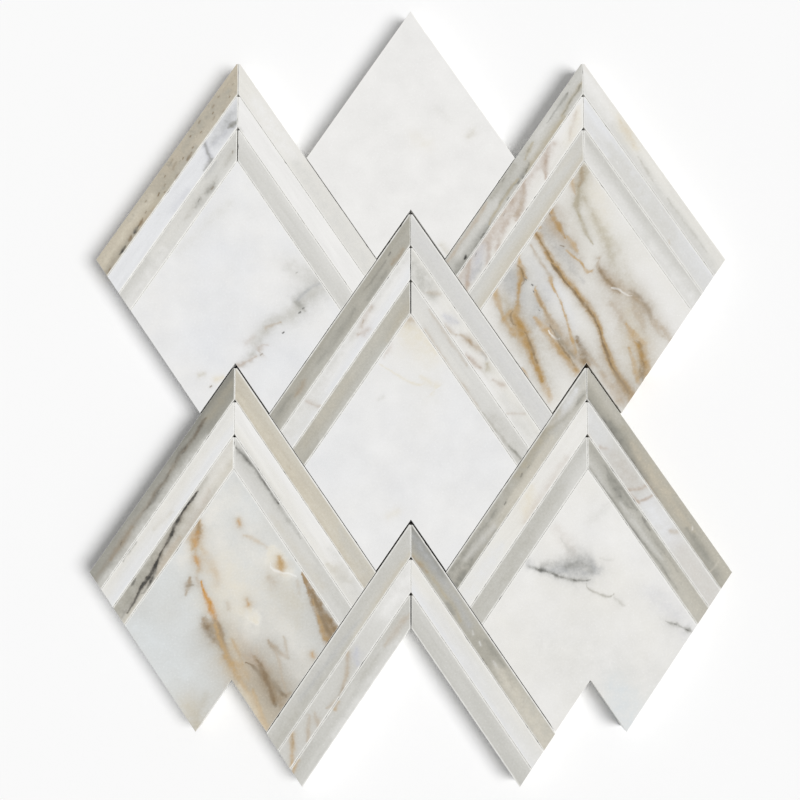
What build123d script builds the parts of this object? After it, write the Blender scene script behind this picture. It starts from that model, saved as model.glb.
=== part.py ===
"""Marble mosaic sheet: diamond fields capped by mitred chevrons of marble strips, on a glass-fibre mesh.

Millimetres. The sheet lies face up on its mesh, +Z out of the polished face and +Y towards the top point.
The origin is under the middle of the sheet, at the underside of the mesh.
"""

from build123d import *
import os
from math import ceil, cos, radians, sin

# Driving dimensions of the pattern
apex_angle = 69.2        # angle at the top point of every chevron, degrees
column_pitch = 73.5      # from one column of points to the next, across the sheet
row_pitch = 65.2         # from one row of points to the next, up the sheet
strip_width = 8.16       # sawn width of a chevron strip

# Joints between the stones
unit_joint = 0.25        # round a whole unit, where it meets its neighbours
notch_joint = 0.6        # round a unit's point, in the notch of the field above it
strip_joint = 0.04       # between the strips and the field of one unit
outer_mitre_joint = 0.12  # between the two arms of a chevron; the mitres open a little band by band
middle_mitre_joint = 0.25
inner_mitre_joint = 0.45

# Stone section
stone_thickness = 9.5    # back to polished face
arris = 0.15             # eased edge round the polished face
tip_blunt = 1.0          # how much of each sharp strip tip is broken off, down the mitre

# Glass-fibre mesh glued to the back
thread_pitch = 6.0       # from thread to thread, both ways
thread_width = 1.0       # flattened roving
thread_thickness = 0.25  # each of the two layers
mesh_margin = 2.0        # how far the mesh is trimmed back from the sheet's outline

# Bands of a chevron from the outside in, with the joint at each one's mitre
BANDS = (("outer", outer_mitre_joint), ("middle", middle_mitre_joint), ("inner", inner_mitre_joint))

# Units by name: column and row of the chevron's point, counted from the column and row of the top field
lower_row = 3
bottom_row = 4
CHEVRON_UNITS = {
    "upper_left": (-1, 1),
    "upper_right": (1, 1),
    "centre": (0, 2),
    "lower_left": (-1, lower_row),
    "lower_right": (1, lower_row),
    "bottom": (0, bottom_row),
}
FIELD_UNITS = {
    "top": (0, 0),
    "upper_left": (-1, 1),
    "upper_right": (1, 1),
    "centre": (0, 2),
    "lower_left": (-1, lower_row),
    "lower_right": (1, lower_row),
}

# The skew grid: every joint but the mitres runs along one of two directions. A point's place on the grid is
# (left, right): its depth below the line of the top point's left edge and below that of its right edge.
half_angle = radians(apex_angle / 2)
column_step = column_pitch * cos(half_angle)
row_step = row_pitch * sin(half_angle)
unit_depth = column_step + row_step      # depth of a whole unit, edge to opposite edge
notch_depth = 2 * row_step               # where the next unit of the same column starts
band_pitch = strip_width + strip_joint
chevron_depth = len(BANDS) * band_pitch

mesh_thickness = 2 * thread_thickness
top_point = chevron_depth + strip_joint / 2
lowest_left = bottom_row * row_step + unit_depth - unit_joint / 2
lowest_right = bottom_row * row_step + chevron_depth - strip_joint / 2
middle_y = -(2 * top_point + lowest_left + lowest_right) / (4 * sin(half_angle))


def spot(left, right):
    """Sheet coordinates of a place on the skew grid."""
    return Vector((left - right) / (2 * cos(half_angle)), -(left + right) / (2 * sin(half_angle)) - middle_y)


def unit_point(column, row):
    """Place on the skew grid of a unit's top point."""
    return row * row_step + column * column_step, row * row_step - column * column_step


def stone(corners):
    """A sawn stone with this outline, its polished face eased all round."""
    outline = make_face(Polyline(*corners, close=True))
    block = extrude(Pos(0, 0, mesh_thickness) * outline, amount=stone_thickness)
    return chamfer(block.faces().sort_by(Axis.Z)[-1].edges(), length=arris)


def strip(column, row, band, mitre_joint, side):
    """One arm of a chevron: side 1 is the right arm, -1 the left. Both are cut from one outline, mirrored."""
    left, right = unit_point(column, row)
    if side < 0:
        left, right = right, left
    outer_joint = unit_joint if band == 0 else strip_joint
    near = right + band * band_pitch + outer_joint / 2
    far = right + (band + 1) * band_pitch - strip_joint / 2
    end = left + unit_depth - unit_joint / 2
    mitre_x = column * column_pitch * side + mitre_joint / 2
    along_mitre = 2 * mitre_x * cos(half_angle)
    tip = spot(near + along_mitre, near)
    blunt_y = tip.Y - tip_blunt
    shoulder_x = tip.X + tip_blunt * sin(half_angle) / cos(half_angle)
    corners = [
        Vector(mitre_x, blunt_y),
        Vector(shoulder_x, blunt_y),
        spot(end, near),
        spot(end, far),
        spot(far + along_mitre, far),
    ]
    return stone([Vector(side * corner.X, corner.Y) for corner in corners])


def field(column, row):
    """The diamond under a chevron, notched at its foot where the next unit of the column starts."""
    left, right = unit_point(column, row)
    near = chevron_depth + strip_joint / 2
    notch = notch_depth + unit_joint / 2 - notch_joint
    far = unit_depth - unit_joint / 2
    places = [(near, near), (far, near), (far, notch), (notch, notch), (notch, far), (near, far)]
    return stone([spot(left + a, right + b) for a, b in places])


def mesh_outline():
    """Outline of the mesh, set in from the sheet's own: its right half, then the same mirrored."""
    upper_near = unit_depth + mesh_margin
    upper_side = row_step - column_step + mesh_margin
    upper_far = 2 * unit_depth - mesh_margin
    lower_side = upper_side + notch_depth
    lower_far = upper_far + notch_depth
    foot = lower_row * row_step - column_step + notch_depth - mesh_margin
    arm_end = bottom_row * row_step + unit_depth - mesh_margin
    top = chevron_depth + mesh_margin
    crotch = bottom_row * row_step + chevron_depth - mesh_margin
    right_half = [
        (upper_near, top),
        (upper_near, upper_side),
        (upper_far, upper_side),
        (upper_far, lower_side),
        (lower_far, lower_side),
        (lower_far, foot),
        (arm_end, foot),
        (arm_end, crotch),
    ]
    left_half = [(right, left) for left, right in reversed(right_half)]
    places = [(top, top)] + right_half + [(crotch, crotch)] + left_half
    return make_face(Polyline(*[spot(*place) for place in places], close=True))


def threads(layer, lengthwise):
    """One layer of the mesh: parallel flat threads trimmed to the mesh's outline."""
    reach = mesh_outline()
    box = reach.bounding_box()
    if lengthwise:
        length, breadth, turn = box.size.Y, box.size.X, 0
    else:
        length, breadth, turn = box.size.X, box.size.Y, 90
    count = 2 * ceil(breadth / 2 / thread_pitch) + 1
    row = Pos(box.center()) * Rot(0, 0, turn) * GridLocations(thread_pitch, 0, count, 1)
    laid = Sketch() + [place * Rectangle(thread_width, length) for place in row]
    return extrude(Pos(0, 0, layer * thread_thickness) * (laid & reach), amount=thread_thickness)


def build():
    """Every piece of the sheet by its node name."""
    pieces = {
        "mesh_weft_threads": threads(0, lengthwise=False),
        "mesh_warp_threads": threads(1, lengthwise=True),
    }
    for unit, (column, row) in FIELD_UNITS.items():
        pieces[f"{unit}_field"] = field(column, row)
    for unit, (column, row) in CHEVRON_UNITS.items():
        for band, (band_name, mitre_joint) in enumerate(BANDS):
            for side, side_name in ((-1, "left"), (1, "right")):
                node = f"{unit}_{band_name}_{side_name}_strip"
                pieces[node] = strip(column, row, band, mitre_joint, side)
    return pieces


os.makedirs("parts", exist_ok=True)
for node, piece in build().items():
    export_step(piece, os.path.join("parts", node + ".step"))
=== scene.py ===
import math
import random
from typing import NamedTuple

import bmesh
import bpy
from bpy.props import FloatProperty, FloatVectorProperty, IntProperty, PointerProperty
from bpy.types import Operator, Panel, PropertyGroup
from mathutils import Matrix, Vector


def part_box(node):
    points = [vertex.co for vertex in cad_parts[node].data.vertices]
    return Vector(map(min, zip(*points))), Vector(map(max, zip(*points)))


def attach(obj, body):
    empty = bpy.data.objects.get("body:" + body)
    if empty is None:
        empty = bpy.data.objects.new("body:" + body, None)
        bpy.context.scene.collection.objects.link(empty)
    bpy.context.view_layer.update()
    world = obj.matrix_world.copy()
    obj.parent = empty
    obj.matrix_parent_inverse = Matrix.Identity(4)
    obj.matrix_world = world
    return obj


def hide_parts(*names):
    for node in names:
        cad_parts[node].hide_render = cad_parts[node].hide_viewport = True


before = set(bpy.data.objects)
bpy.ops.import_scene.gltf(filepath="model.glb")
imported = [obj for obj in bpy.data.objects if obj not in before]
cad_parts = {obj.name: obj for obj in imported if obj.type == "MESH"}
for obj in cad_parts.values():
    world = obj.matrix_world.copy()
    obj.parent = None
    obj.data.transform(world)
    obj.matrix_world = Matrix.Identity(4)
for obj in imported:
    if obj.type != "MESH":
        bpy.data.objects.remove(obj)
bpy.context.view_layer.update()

bl_info = {
    "name": "Marble Mosaic Sheet",
    "version": (1, 0, 0),
    "blender": (4, 5, 0),
    "location": "3D View > Sidebar > Mosaic",
    "description": "Dresses a mesh-backed sheet of sawn marble diamonds and chevron strips",
    "category": "Object",
}

MM = 0.001
SAME_PLACE = 1e-6          # m, points nearer than this are one
NODES = sorted(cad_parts)
FIELDS = [node for node in NODES if node.endswith("_field")]
STRIPS = [node for node in NODES if node.endswith("_strip")]
THREADS = [node for node in NODES if node.endswith("_threads")]

STRIP_WIDTH = 8.16         # mm, outer edge to inner edge of a strip
TIP_INSET = 0.57           # mm, from a strip's outer edge to the line along it through its blunted tip
ARM_ANGLE = 34.6           # degrees between a strip and the sheet's length

# Bands whose two arms are butted tight: their mitre is a pale line and not a dark gap
TIGHT_JOINT = 0.04         # mm, left between such arms
TIGHT_MITRES = ("upper_left_middle", "upper_right_outer", "upper_right_middle", "upper_right_inner", "lower_left_outer",
                "lower_left_middle", "lower_left_inner", "lower_right_middle", "lower_right_inner", "bottom_outer",
                "bottom_middle")

# Strips whose outer edge is the outline of the sheet: that edge gets no pale line of chalky edge and painted highlight
OUTLINE_STRIPS = ("upper_left_outer_left_strip", "upper_left_outer_right_strip", "upper_right_outer_left_strip",
                  "upper_right_outer_right_strip", "lower_left_outer_left_strip", "lower_right_outer_right_strip")
# The pale line along a sawn edge is partly chalky ground stone and partly a painted highlight
EDGE_PALE = 0.2            # mm from a sawn edge, where its pale line is strongest
EDGE_CLEAR = 0.75          # mm from a sawn edge, where the line has gone
MITRE_PINCH = 1.8          # how many times narrower the line is along a mitre

IRON = ("honey", "gold", "amber", "brown", "umber", "fawn", "olive")     # veins that stain the stone round them
STAIN_SHARE = 0.25         # strength of the stain, as a share of the vein's
STAIN_REACH = 8.0          # square of the half widths over which the stain fades
HAZE_REACH = 1.4           # the same for the haze of a soft vein
SPECK_LENGTH = 1.8         # mm, a shorter route is a speck
SPECK_FILL = 0.32          # half width of a speck, as a share of the width it is given
VEIN_FILL = 0.68           # the same for a vein: specks stay small and veins fill out

FIELD_SEED = 11            # of the first field; each stone has its own
STRIP_SEED = 31            # of the first strip


def linear(code):
    """Linear colour of an sRGB hex value."""
    parts = [int(code[i:i + 2], 16) / 255 for i in (1, 3, 5)]
    return tuple(c / 12.92 if c <= 0.04045 else ((c + 0.055) / 1.055) ** 2.4 for c in parts)


def colour(name, code, description):
    """A colour that the user can change."""
    return FloatVectorProperty(name=name, description=description, subtype="COLOR", size=3,
                               min=0.0, max=1.0, default=linear(code))


class MarbleColours(PropertyGroup):
    """Ground and vein colours of the marble."""
    white: colour("White", "#EDECEA", "Clean white ground")
    milk: colour("Milk", "#E6E4DE", "Warm white ground")
    frost: colour("Frost", "#E4E5E7", "Cool white ground")
    ice: colour("Ice", "#DBDFE0", "Blue-white cast of a thick clean patch")
    cream: colour("Cream", "#E3DCCB", "Pale iron stain")
    pearl: colour("Pearl", "#D9D8D4", "Palest grey ground")
    silver: colour("Silver", "#CFCEC9", "Light grey ground")
    dove: colour("Dove", "#C4C3BD", "Middle grey ground")
    ash: colour("Ash", "#B7B5AC", "Warm grey ground")
    taupe: colour("Taupe", "#A8A59A", "Dark warm grey ground")
    slate: colour("Slate", "#87867E", "Grey vein")
    charcoal: colour("Charcoal", "#55534E", "Dark grey vein")
    ink: colour("Ink", "#302E2A", "Black vein and specks")
    sand: colour("Sand", "#CDC8BB", "Pale beige ground")
    buff: colour("Buff", "#BFB7A6", "Tan ground")
    olive: colour("Olive", "#B2A993", "Greenish brown cloud")
    fawn: colour("Fawn", "#B8A893", "Soft brown cloud")
    blush: colour("Blush", "#B9AA9C", "Pinkish brown vein")
    honey: colour("Honey", "#BD9F72", "Pale gold vein")
    gold: colour("Gold", "#AA8547", "Gold vein")
    amber: colour("Amber", "#C48D3C", "Orange gold vein")
    brown: colour("Brown", "#997F5B", "Brown vein")
    umber: colour("Umber", "#755F40", "Dark brown edge of a gold vein")
    lilac: colour("Lilac", "#C6C7CD", "Blue-grey cloud")
    smoke: colour("Smoke", "#B3B4B4", "Grey cloud")
    # Chalk is also the painted highlight along the arris and the sawn edges
    chalk: colour("Chalk", "#F1F0EC", "Ground edge and crushed crystal")


class StoneFinish(PropertyGroup):
    """Edges and polish of the stones."""
    arris: FloatProperty(name="Arris", description="Width of the eased edge", unit="LENGTH", default=0.15 * MM)
    edge_step: FloatProperty(name="Edge step", description="Spacing of the points along an edge", unit="LENGTH",
                             default=1.2 * MM)
    waver: FloatProperty(name="Waver", description="How far a sawn edge strays inwards", unit="LENGTH",
                         default=0.04 * MM)
    nicks: IntProperty(name="Nicks", description="Small chips along the arris of one stone", default=3, min=0)
    nick_depth: FloatProperty(name="Nick depth", description="Depth of the deepest chip", unit="LENGTH",
                              default=0.16 * MM)
    polish: FloatProperty(name="Polish", description="Roughness of the polished face", subtype="FACTOR",
                          default=0.22, min=0.0, max=1.0)
    sawn: FloatProperty(name="Sawn", description="Roughness of the sawn sides and back", subtype="FACTOR",
                        default=0.62, min=0.0, max=1.0)


class MeshFinish(PropertyGroup):
    """Threads of the backing mesh."""
    roving: colour("Roving", "#E4E3DC", "Glass-fibre thread")
    size: colour("Size", "#CFCDC2", "Dried size between the fibres")
    thread_round: FloatProperty(name="Thread round", description="Rounding of a thread's edges", unit="LENGTH",
                                default=0.09 * MM)


class StageSetup(PropertyGroup):
    """Camera, light and floor."""
    distance: FloatProperty(name="Distance", description="Camera to polished face", unit="LENGTH", default=0.420)
    lens: FloatProperty(name="Lens", description="Focal length, in millimetres on a 36 mm sensor", default=45.31)
    tilt: FloatProperty(name="Tilt", description="Lean of the view from straight down", subtype="ANGLE",
                        default=0.06766)
    aim: FloatVectorProperty(name="Aim", description="Point in the middle of the view", subtype="TRANSLATION",
                             default=(-4.494 * MM, -4.535 * MM, 10.0 * MM))
    floor: colour("Floor", "#FAFAFA", "Plain pale floor")
    sky_level: FloatProperty(name="Sky level", description="Even light from all round", default=0.36)
    sun_level: FloatProperty(name="Sun level", description="Soft light from the right", default=2.48)
    sun_height: FloatProperty(name="Sun height", description="Angle of the soft light above the floor",
                              subtype="ANGLE", default=math.radians(54))
    sun_turn: FloatProperty(name="Sun turn", description="Turn of the soft light from the right towards the foot",
                            subtype="ANGLE", default=math.radians(15))
    sun_spread: FloatProperty(name="Sun spread", description="Apparent width of the soft light", subtype="ANGLE",
                              default=math.radians(34))


class Vein(NamedTuple):
    """A vein, cloud or speck. The route is along its middle: (x, y, width) in mm, on the sheet for a field, and
    from the tip and the outer edge for a strip."""
    colour: str
    strength: float        # 1 hides the ground
    softness: float        # 0 for a clean edge, 1 for a haze that fades out past its width
    route: tuple


class Ground(NamedTuple):
    """What a stone looks like between its veins."""
    first: str             # a strip's outer half, or most of a field
    second: str            # a strip's inner half, or the clouds in a field
    contrast: float        # how far the two break up into streaks or clouds
    mottle: float          # strength of small grey-brown mottling


GROUNDS = {
    "top_field": Ground("white", "white", 0.6, 0.0),
    "upper_left_field": Ground("frost", "white", 1.2, 0.0),
    "upper_right_field": Ground("white", "milk", 1.4, 0.0),
    "centre_field": Ground("white", "frost", 0.7, 0.0),
    "lower_left_field": Ground("silver", "ice", 1.2, 0.05),
    "lower_right_field": Ground("white", "milk", 1.2, 0.0),
    "upper_left_outer_left_strip": Ground("buff", "buff", 1.0, 0.5),
    "upper_left_middle_left_strip": Ground("frost", "frost", 1.0, 0.05),
    "upper_left_inner_left_strip": Ground("silver", "pearl", 1.2, 0.15),
    "upper_left_outer_right_strip": Ground("milk", "milk", 1.2, 0.0),
    "upper_left_middle_right_strip": Ground("white", "white", 1.0, 0.0),
    "upper_left_inner_right_strip": Ground("pearl", "silver", 1.0, 0.0),
    "upper_right_outer_left_strip": Ground("dove", "silver", 1.6, 0.2),
    "upper_right_middle_left_strip": Ground("white", "milk", 1.2, 0.0),
    "upper_right_inner_left_strip": Ground("silver", "sand", 1.0, 0.0),
    "upper_right_outer_right_strip": Ground("milk", "pearl", 1.2, 0.0),
    "upper_right_middle_right_strip": Ground("frost", "pearl", 1.6, 0.0),
    "upper_right_inner_right_strip": Ground("silver", "pearl", 1.2, 0.0),
    "centre_outer_left_strip": Ground("taupe", "ash", 1.6, 0.15),
    "centre_middle_left_strip": Ground("white", "frost", 1.2, 0.0),
    "centre_inner_left_strip": Ground("ash", "ash", 1.4, 0.1),
    "centre_outer_right_strip": Ground("pearl", "pearl", 1.4, 0.0),
    "centre_middle_right_strip": Ground("milk", "white", 1.4, 0.05),
    "centre_inner_right_strip": Ground("pearl", "pearl", 1.2, 0.05),
    "lower_left_outer_left_strip": Ground("slate", "ash", 1.2, 0.15),
    "lower_left_middle_left_strip": Ground("milk", "frost", 1.0, 0.0),
    "lower_left_inner_left_strip": Ground("pearl", "sand", 1.4, 0.2),
    "lower_left_outer_right_strip": Ground("sand", "buff", 1.2, 0.0),
    "lower_left_middle_right_strip": Ground("white", "milk", 1.0, 0.0),
    "lower_left_inner_right_strip": Ground("silver", "pearl", 1.2, 0.0),
    "lower_right_outer_left_strip": Ground("dove", "sand", 1.8, 0.25),
    "lower_right_middle_left_strip": Ground("milk", "milk", 1.0, 0.0),
    "lower_right_inner_left_strip": Ground("dove", "silver", 0.6, 0.0),
    "lower_right_outer_right_strip": Ground("ash", "taupe", 1.6, 0.2),
    "lower_right_middle_right_strip": Ground("pearl", "pearl", 1.2, 0.0),
    "lower_right_inner_right_strip": Ground("ash", "ash", 1.8, 0.2),
    "bottom_outer_left_strip": Ground("silver", "dove", 1.2, 0.05),
    "bottom_middle_left_strip": Ground("pearl", "pearl", 1.2, 0.05),
    "bottom_inner_left_strip": Ground("dove", "silver", 1.2, 0.05),
    "bottom_outer_right_strip": Ground("ash", "ash", 1.8, 0.25),
    "bottom_middle_right_strip": Ground("milk", "frost", 1.0, 0.0),
    "bottom_inner_right_strip": Ground("silver", "dove", 1.0, 0.0),
}

VEINS = {
    "top_field": (
        Vein("sand", 0.5, 1.0, ((24.5, 108, 2.2), (26.5, 110, 2.6))),
        Vein("cream", 0.25, 1.0, ((2, 107, 5), (7, 104, 5))),
        Vein("pearl", 0.4, 1.0, ((12, 119, 5), (16, 116, 5))),
        Vein("sand", 0.6, 1.0, ((13, 61, 2), (16.5, 57, 3))),
    ),
    "upper_left_field": (
        Vein("dove", 0.35, 1.0, ((-34, 44, 6), (-42, 38, 8), (-50, 30, 6))),
        Vein("smoke", 0.7, 1.0, ((-36, 47, 4), (-41, 43, 6), (-46, 38, 5))),
        Vein("taupe", 0.5, 1.0, ((-40, 45, 2), (-45, 36, 3.4), (-52, 30.5, 3), (-59, 27, 3.4), (-63.6, 19, 3.4),
                                 (-68, 12.6, 3.4), (-72, 10, 2))),
        Vein("silver", 0.7, 1.0, ((-30, 44, 6), (-40, 46, 9), (-50, 52, 6))),
        Vein("silver", 0.6, 1.0, ((-34, 46, 3), (-45, 39, 5), (-50, 32, 5), (-60, 26, 5), (-66, 20, 2))),
        Vein("pearl", 0.45, 1.0, ((-98, 58, 3), (-88, 68, 5), (-76, 79, 3))),
        Vein("smoke", 0.75, 0.9, ((-36, 45.5, 0.4), (-39, 44, 1.2), (-42, 42.8, 1.0), (-45, 40, 1.3),
                                  (-47, 37.5, 1.0))),
        Vein("slate", 0.5, 1.0, ((-44.5, 33, 1.2), (-46, 35, 1.8), (-48, 36.5, 1.4))),
        Vein("fawn", 0.7, 0.9, ((-54.5, 28, 0.6), (-57.5, 27.2, 1.0), (-60.5, 25.6, 1.2))),
        Vein("blush", 0.55, 1.0, ((-60, 18.5, 1.2), (-63.5, 17, 2.2), (-62, 14.5, 1.6))),
        Vein("blush", 0.75, 0.9, ((-64.5, 13.4, 0.8), (-68, 11.8, 1.2), (-72, 9.8, 1.6))),
        Vein("blush", 0.35, 1.0, ((-66, 21.5, 1.5), (-69, 19.5, 2.0))),
        Vein("umber", 0.7, 0.6, ((-62.2, 14.8, 0.8), (-62.9, 14.2, 0.8))),
        Vein("cream", 0.9, 1.0, ((-78.5, 5.2, 1.6), (-81.5, 4.2, 2.0))),
        Vein("sand", 0.8, 1.0, ((-86, 6.5, 1.4), (-88, 5.8, 1.6))),
        Vein("umber", 0.8, 0.6, ((-83.0, 1.7, 0.9), (-83.6, 1.2, 0.9))),
        Vein("ink", 0.9, 0.5, ((-46.2, 32.4, 1.0), (-46.9, 31.9, 1.0))),
        Vein("charcoal", 0.8, 0.6, ((-44.8, 34.1, 0.8), (-45.3, 33.8, 0.8))),
        Vein("ink", 0.8, 0.5, ((-53.2, 24.0, 1.0), (-53.8, 23.6, 1.0))),
        Vein("slate", 0.6, 0.7, ((-47.8, 49.5, 0.8), (-48.3, 49.1, 0.8))),
    ),
    "upper_right_field": (
        Vein("taupe", 0.4, 1.0, ((42, 52, 6), (48, 44, 8), (52, 36, 6))),
        Vein("fawn", 0.3, 1.0, ((60, 66, 6), (66, 58, 8), (70, 50, 6))),
        Vein("fawn", 0.4, 1.0, ((80, 14, 5), (86, 4, 7), (90, -4, 6))),
        Vein("white", 0.7, 1.0, ((96, 48, 6), (104, 36, 8), (110, 26, 6))),
        Vein("slate", 0.42, 1.0, ((40, 48, 8), (46, 40, 10), (50, 30, 8))),
        Vein("taupe", 0.25, 1.0, ((88, 24, 6), (94, 14, 8), (97, 5, 7))),
        Vein("taupe", 0.35, 1.0, ((46, 22, 6), (52, 12, 9), (56, 2, 7))),
        Vein("lilac", 0.5, 1.0, ((50, 54, 4), (54.5, 47, 6), (58, 40, 4))),
        Vein("lilac", 0.55, 1.0, ((44, 40, 4), (48, 35, 6), (52, 28, 4))),
        Vein("smoke", 0.8, 1.0, ((39, 50, 7), (46, 43, 9), (52, 35, 8))),
        Vein("fawn", 0.4, 1.0, ((55, 80, 6), (60, 72, 8), (66, 62, 6))),
        Vein("fawn", 0.5, 1.0, ((86, 37, 7), (93, 25, 9), (98, 10, 8))),
        Vein("buff", 0.7, 1.0, ((36, 40, 5), (42, 32, 7), (48, 22, 6))),
        Vein("pearl", 0.7, 1.0, ((46, 62, 6), (50, 50, 8), (50, 36, 6), (47, 28, 4))),
        Vein("frost", 0.7, 1.0, ((58, 50, 4), (64, 38, 5), (68, 26, 4))),
        Vein("smoke", 0.55, 1.0, ((53, 73, 5), (58, 66, 7), (64, 57, 6), (72, 46, 2))),
        Vein("cream", 0.5, 1.0, ((74, 94, 4), (77, 84, 8), (80, 72, 6), (84, 62, 3))),
        Vein("cream", 0.6, 1.0, ((92, 34, 5), (94, 22, 9), (97, 8, 8))),
        Vein("sand", 0.6, 1.0, ((83, 66, 3), (87, 54, 8), (91, 44, 8), (99, 36, 5))),
        Vein("fawn", 0.8, 1.0, ((79.5, 55, 1.5), (80.5, 49.5, 4), (84, 45.5, 5), (88.5, 42, 4.5), (94, 38.5, 6),
                                (98.5, 33, 5), (103, 28, 3.4), (109, 21, 2.4))),
        Vein("brown", 0.6, 1.0, ((79.3, 50.5, 1.5), (81.5, 47.5, 2.6), (85, 43.5, 2.0), (88, 40.5, 0.8))),
        Vein("brown", 0.45, 1.0, ((92, 39.5, 1.0), (96, 37, 2.4), (99.5, 33.5, 2.0), (101, 30.5, 1.0))),
        Vein("fawn", 0.6, 1.0, ((94, 34, 2.0), (96, 29, 3.0), (98, 24, 1.5))),
        Vein("chalk", 0.7, 0.7, ((84.5, 42.8, 0.5), (87, 42.2, 0.7), (89.5, 40.2, 0.6), (93, 39.4, 0.3))),
        Vein("fawn", 0.5, 1.0, ((84, 37, 1.0), (88, 30, 2.5), (92, 24, 2.0))),
        Vein("honey", 0.8, 0.65, ((90.5, 27, 1.2), (93.5, 22, 3.0), (96, 17.5, 4.6), (97, 13.5, 3.4), (98.5, 8, 3.2),
                                  (99.5, 4, 2))),
        Vein("brown", 0.8, 0.65, ((94.6, 20, 0.6), (96.4, 15, 1.6), (96.2, 10, 1.2), (96, 5, 1.6))),
        Vein("honey", 0.7, 0.65, ((91.5, 17, 0.8), (93.5, 10, 1.6), (95, 3, 2.0))),
        Vein("olive", 0.9, 1.0, ((73.5, 97, 6), (72.5, 91, 5.0), (71, 84, 3.4), (70.2, 78, 2.0))),
        Vein("honey", 0.6, 1.0, ((68.6, 91, 1.4), (68.3, 87.5, 1.8), (69.5, 83, 1.0))),
        Vein("brown", 0.5, 1.0, ((72.8, 94, 1.6), (72.2, 89.5, 1.6), (71.3, 86, 0.8))),
        Vein("olive", 0.9, 0.9, ((70.1, 80, 1.2), (70.6, 75, 1.2), (73.2, 68.5, 1.5), (75.5, 64, 1.0),
                                 (77, 61, 0.4))),
        Vein("olive", 0.55, 1.0, ((73, 82, 2.0), (78, 72, 3.4), (82.5, 62, 3.6), (84, 54, 2.4))),
        Vein("fawn", 0.7, 1.0, ((55.5, 78, 4), (59, 72, 5), (62, 66.5, 4), (66, 62.5, 2.5), (70.5, 57.5, 1.5))),
        Vein("gold", 0.75, 0.65, ((57.6, 78, 1.5), (60, 74, 2.0), (62.3, 69.8, 2.0), (64.3, 66, 1.0),
                                  (65.5, 64, 0.3))),
        Vein("honey", 0.7, 0.65, ((66, 65, 0.5), (68.5, 61.5, 1.6), (70.5, 58.5, 1.0))),
        Vein("honey", 0.8, 0.65, ((53.0, 70, 1.2), (54.0, 68.5, 1.6))),
        Vein("honey", 0.75, 0.65, ((65.5, 58.5, 0.6), (69, 55.8, 0.9), (72, 52.5, 0.8), (73.6, 50, 1.3),
                                   (75.8, 49.8, 1.4))),
        Vein("fawn", 0.75, 0.9, ((51, 60.5, 0.7), (54, 55, 1.2), (57, 50.5, 1.2), (59, 47, 1.2))),
        Vein("honey", 0.85, 0.65, ((51.5, 68.2, 1.4), (55.5, 61.5, 2.2), (59, 55.5, 2.2), (62, 50.6, 2.4),
                                   (66, 45.6, 2.6), (70, 40.6, 2.6), (73, 36.2, 3.0), (76.5, 31, 2.4), (79, 25, 2.0),
                                   (80.5, 20, 2.2), (82.5, 15, 2.6), (84.2, 10, 2.4), (87, 5, 2.8), (91.5, -2, 3.2),
                                   (94, -6, 3))),
        Vein("gold", 0.95, 0.7, ((51.5, 68.0, 0.9), (55.5, 61.3, 1.1), (59, 55.3, 1.1), (62, 50.4, 1.5),
                                 (66, 45.3, 1.6), (70, 40.2, 1.4), (73, 35.8, 1.9), (76.5, 30.8, 1.6), (79, 25, 1.5),
                                 (80.5, 20, 1.6), (82.5, 15, 1.9), (84.2, 10, 1.6), (87, 5, 1.8), (91.5, -2, 1.8))),
        Vein("umber", 0.8, 0.5, ((59.5, 53.2, 0.3), (61.5, 50.2, 1.1), (64.5, 46.2, 0.6), (69.5, 40, 0.7),
                                 (72, 36.6, 1.3), (75.3, 32.4, 0.9), (78, 27, 0.5), (80.2, 20, 0.6),
                                 (82.4, 14.5, 1.0), (84.0, 10, 0.5), (87, 4.6, 0.7), (91, -2, 0.6))),
        Vein("brown", 0.6, 1.0, ((85.5, 7, 0.8), (88.5, 1.5, 3.2), (92, -3, 3.6))),
        Vein("honey", 0.85, 0.65, ((45.4, 59.5, 0.6), (45.7, 54, 1.4), (46.4, 49, 2.6), (45.6, 43, 1.5),
                                   (45, 38, 1.5), (43.8, 32.5, 2.4))),
        Vein("gold", 0.75, 0.8, ((45.8, 52, 0.5), (46.6, 48.5, 1.5), (45.7, 43, 0.8), (45, 37, 0.9),
                                 (44.2, 32.5, 1.4))),
        Vein("gold", 0.7, 0.8, ((46.4, 50.6, 0.8), (48.4, 47.2, 0.9))),
        Vein("honey", 0.8, 0.65, ((34.4, 43.5, 2.4), (36, 38.5, 2.4), (37.6, 33.5, 1.5), (39.2, 29.5, 1.2))),
        Vein("honey", 0.8, 0.65, ((44.6, 33.6, 2.0), (41.6, 31.4, 2.0), (38.6, 28.6, 1.6))),
        Vein("honey", 0.85, 0.8, ((39, 29.5, 1.4), (42, 26.0, 2.2), (45.5, 21.5, 2.2), (48.5, 17.5, 2.0))),
        Vein("honey", 0.85, 0.65, ((43, 32, 3.0), (45.5, 26.5, 4.6), (48.2, 20.5, 4.2), (50.8, 14.6, 3.4),
                                   (53.2, 8.5, 3.2), (55.2, 3.5, 2.6), (57.6, -4, 2.6))),
        Vein("gold", 0.9, 0.65, ((43.8, 30.8, 1.6), (46, 26.2, 2.6), (48.4, 20.4, 2.2), (51, 13.8, 1.4),
                                 (53.2, 8, 1.6), (55, 3.5, 1.0))),
        Vein("honey", 0.7, 0.65, ((46.6, 9.2, 0.6), (47.8, 6.8, 1.0), (49, 5, 0.6))),
        Vein("honey", 0.8, 0.65, ((52.5, 43, 0.7), (54, 38, 1.6), (56.4, 33.2, 1.6), (59, 28.2, 2.2),
                                  (62.4, 22.6, 1.6))),
        Vein("brown", 0.5, 0.65, ((53, 41, 0.4), (54.4, 37, 0.8), (56.8, 32.4, 0.7), (59.4, 27.6, 1.0))),
        Vein("fawn", 0.75, 1.0, ((57, 28, 3.0), (63, 21.5, 6.5), (68, 15.5, 7), (73, 10.5, 5))),
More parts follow.
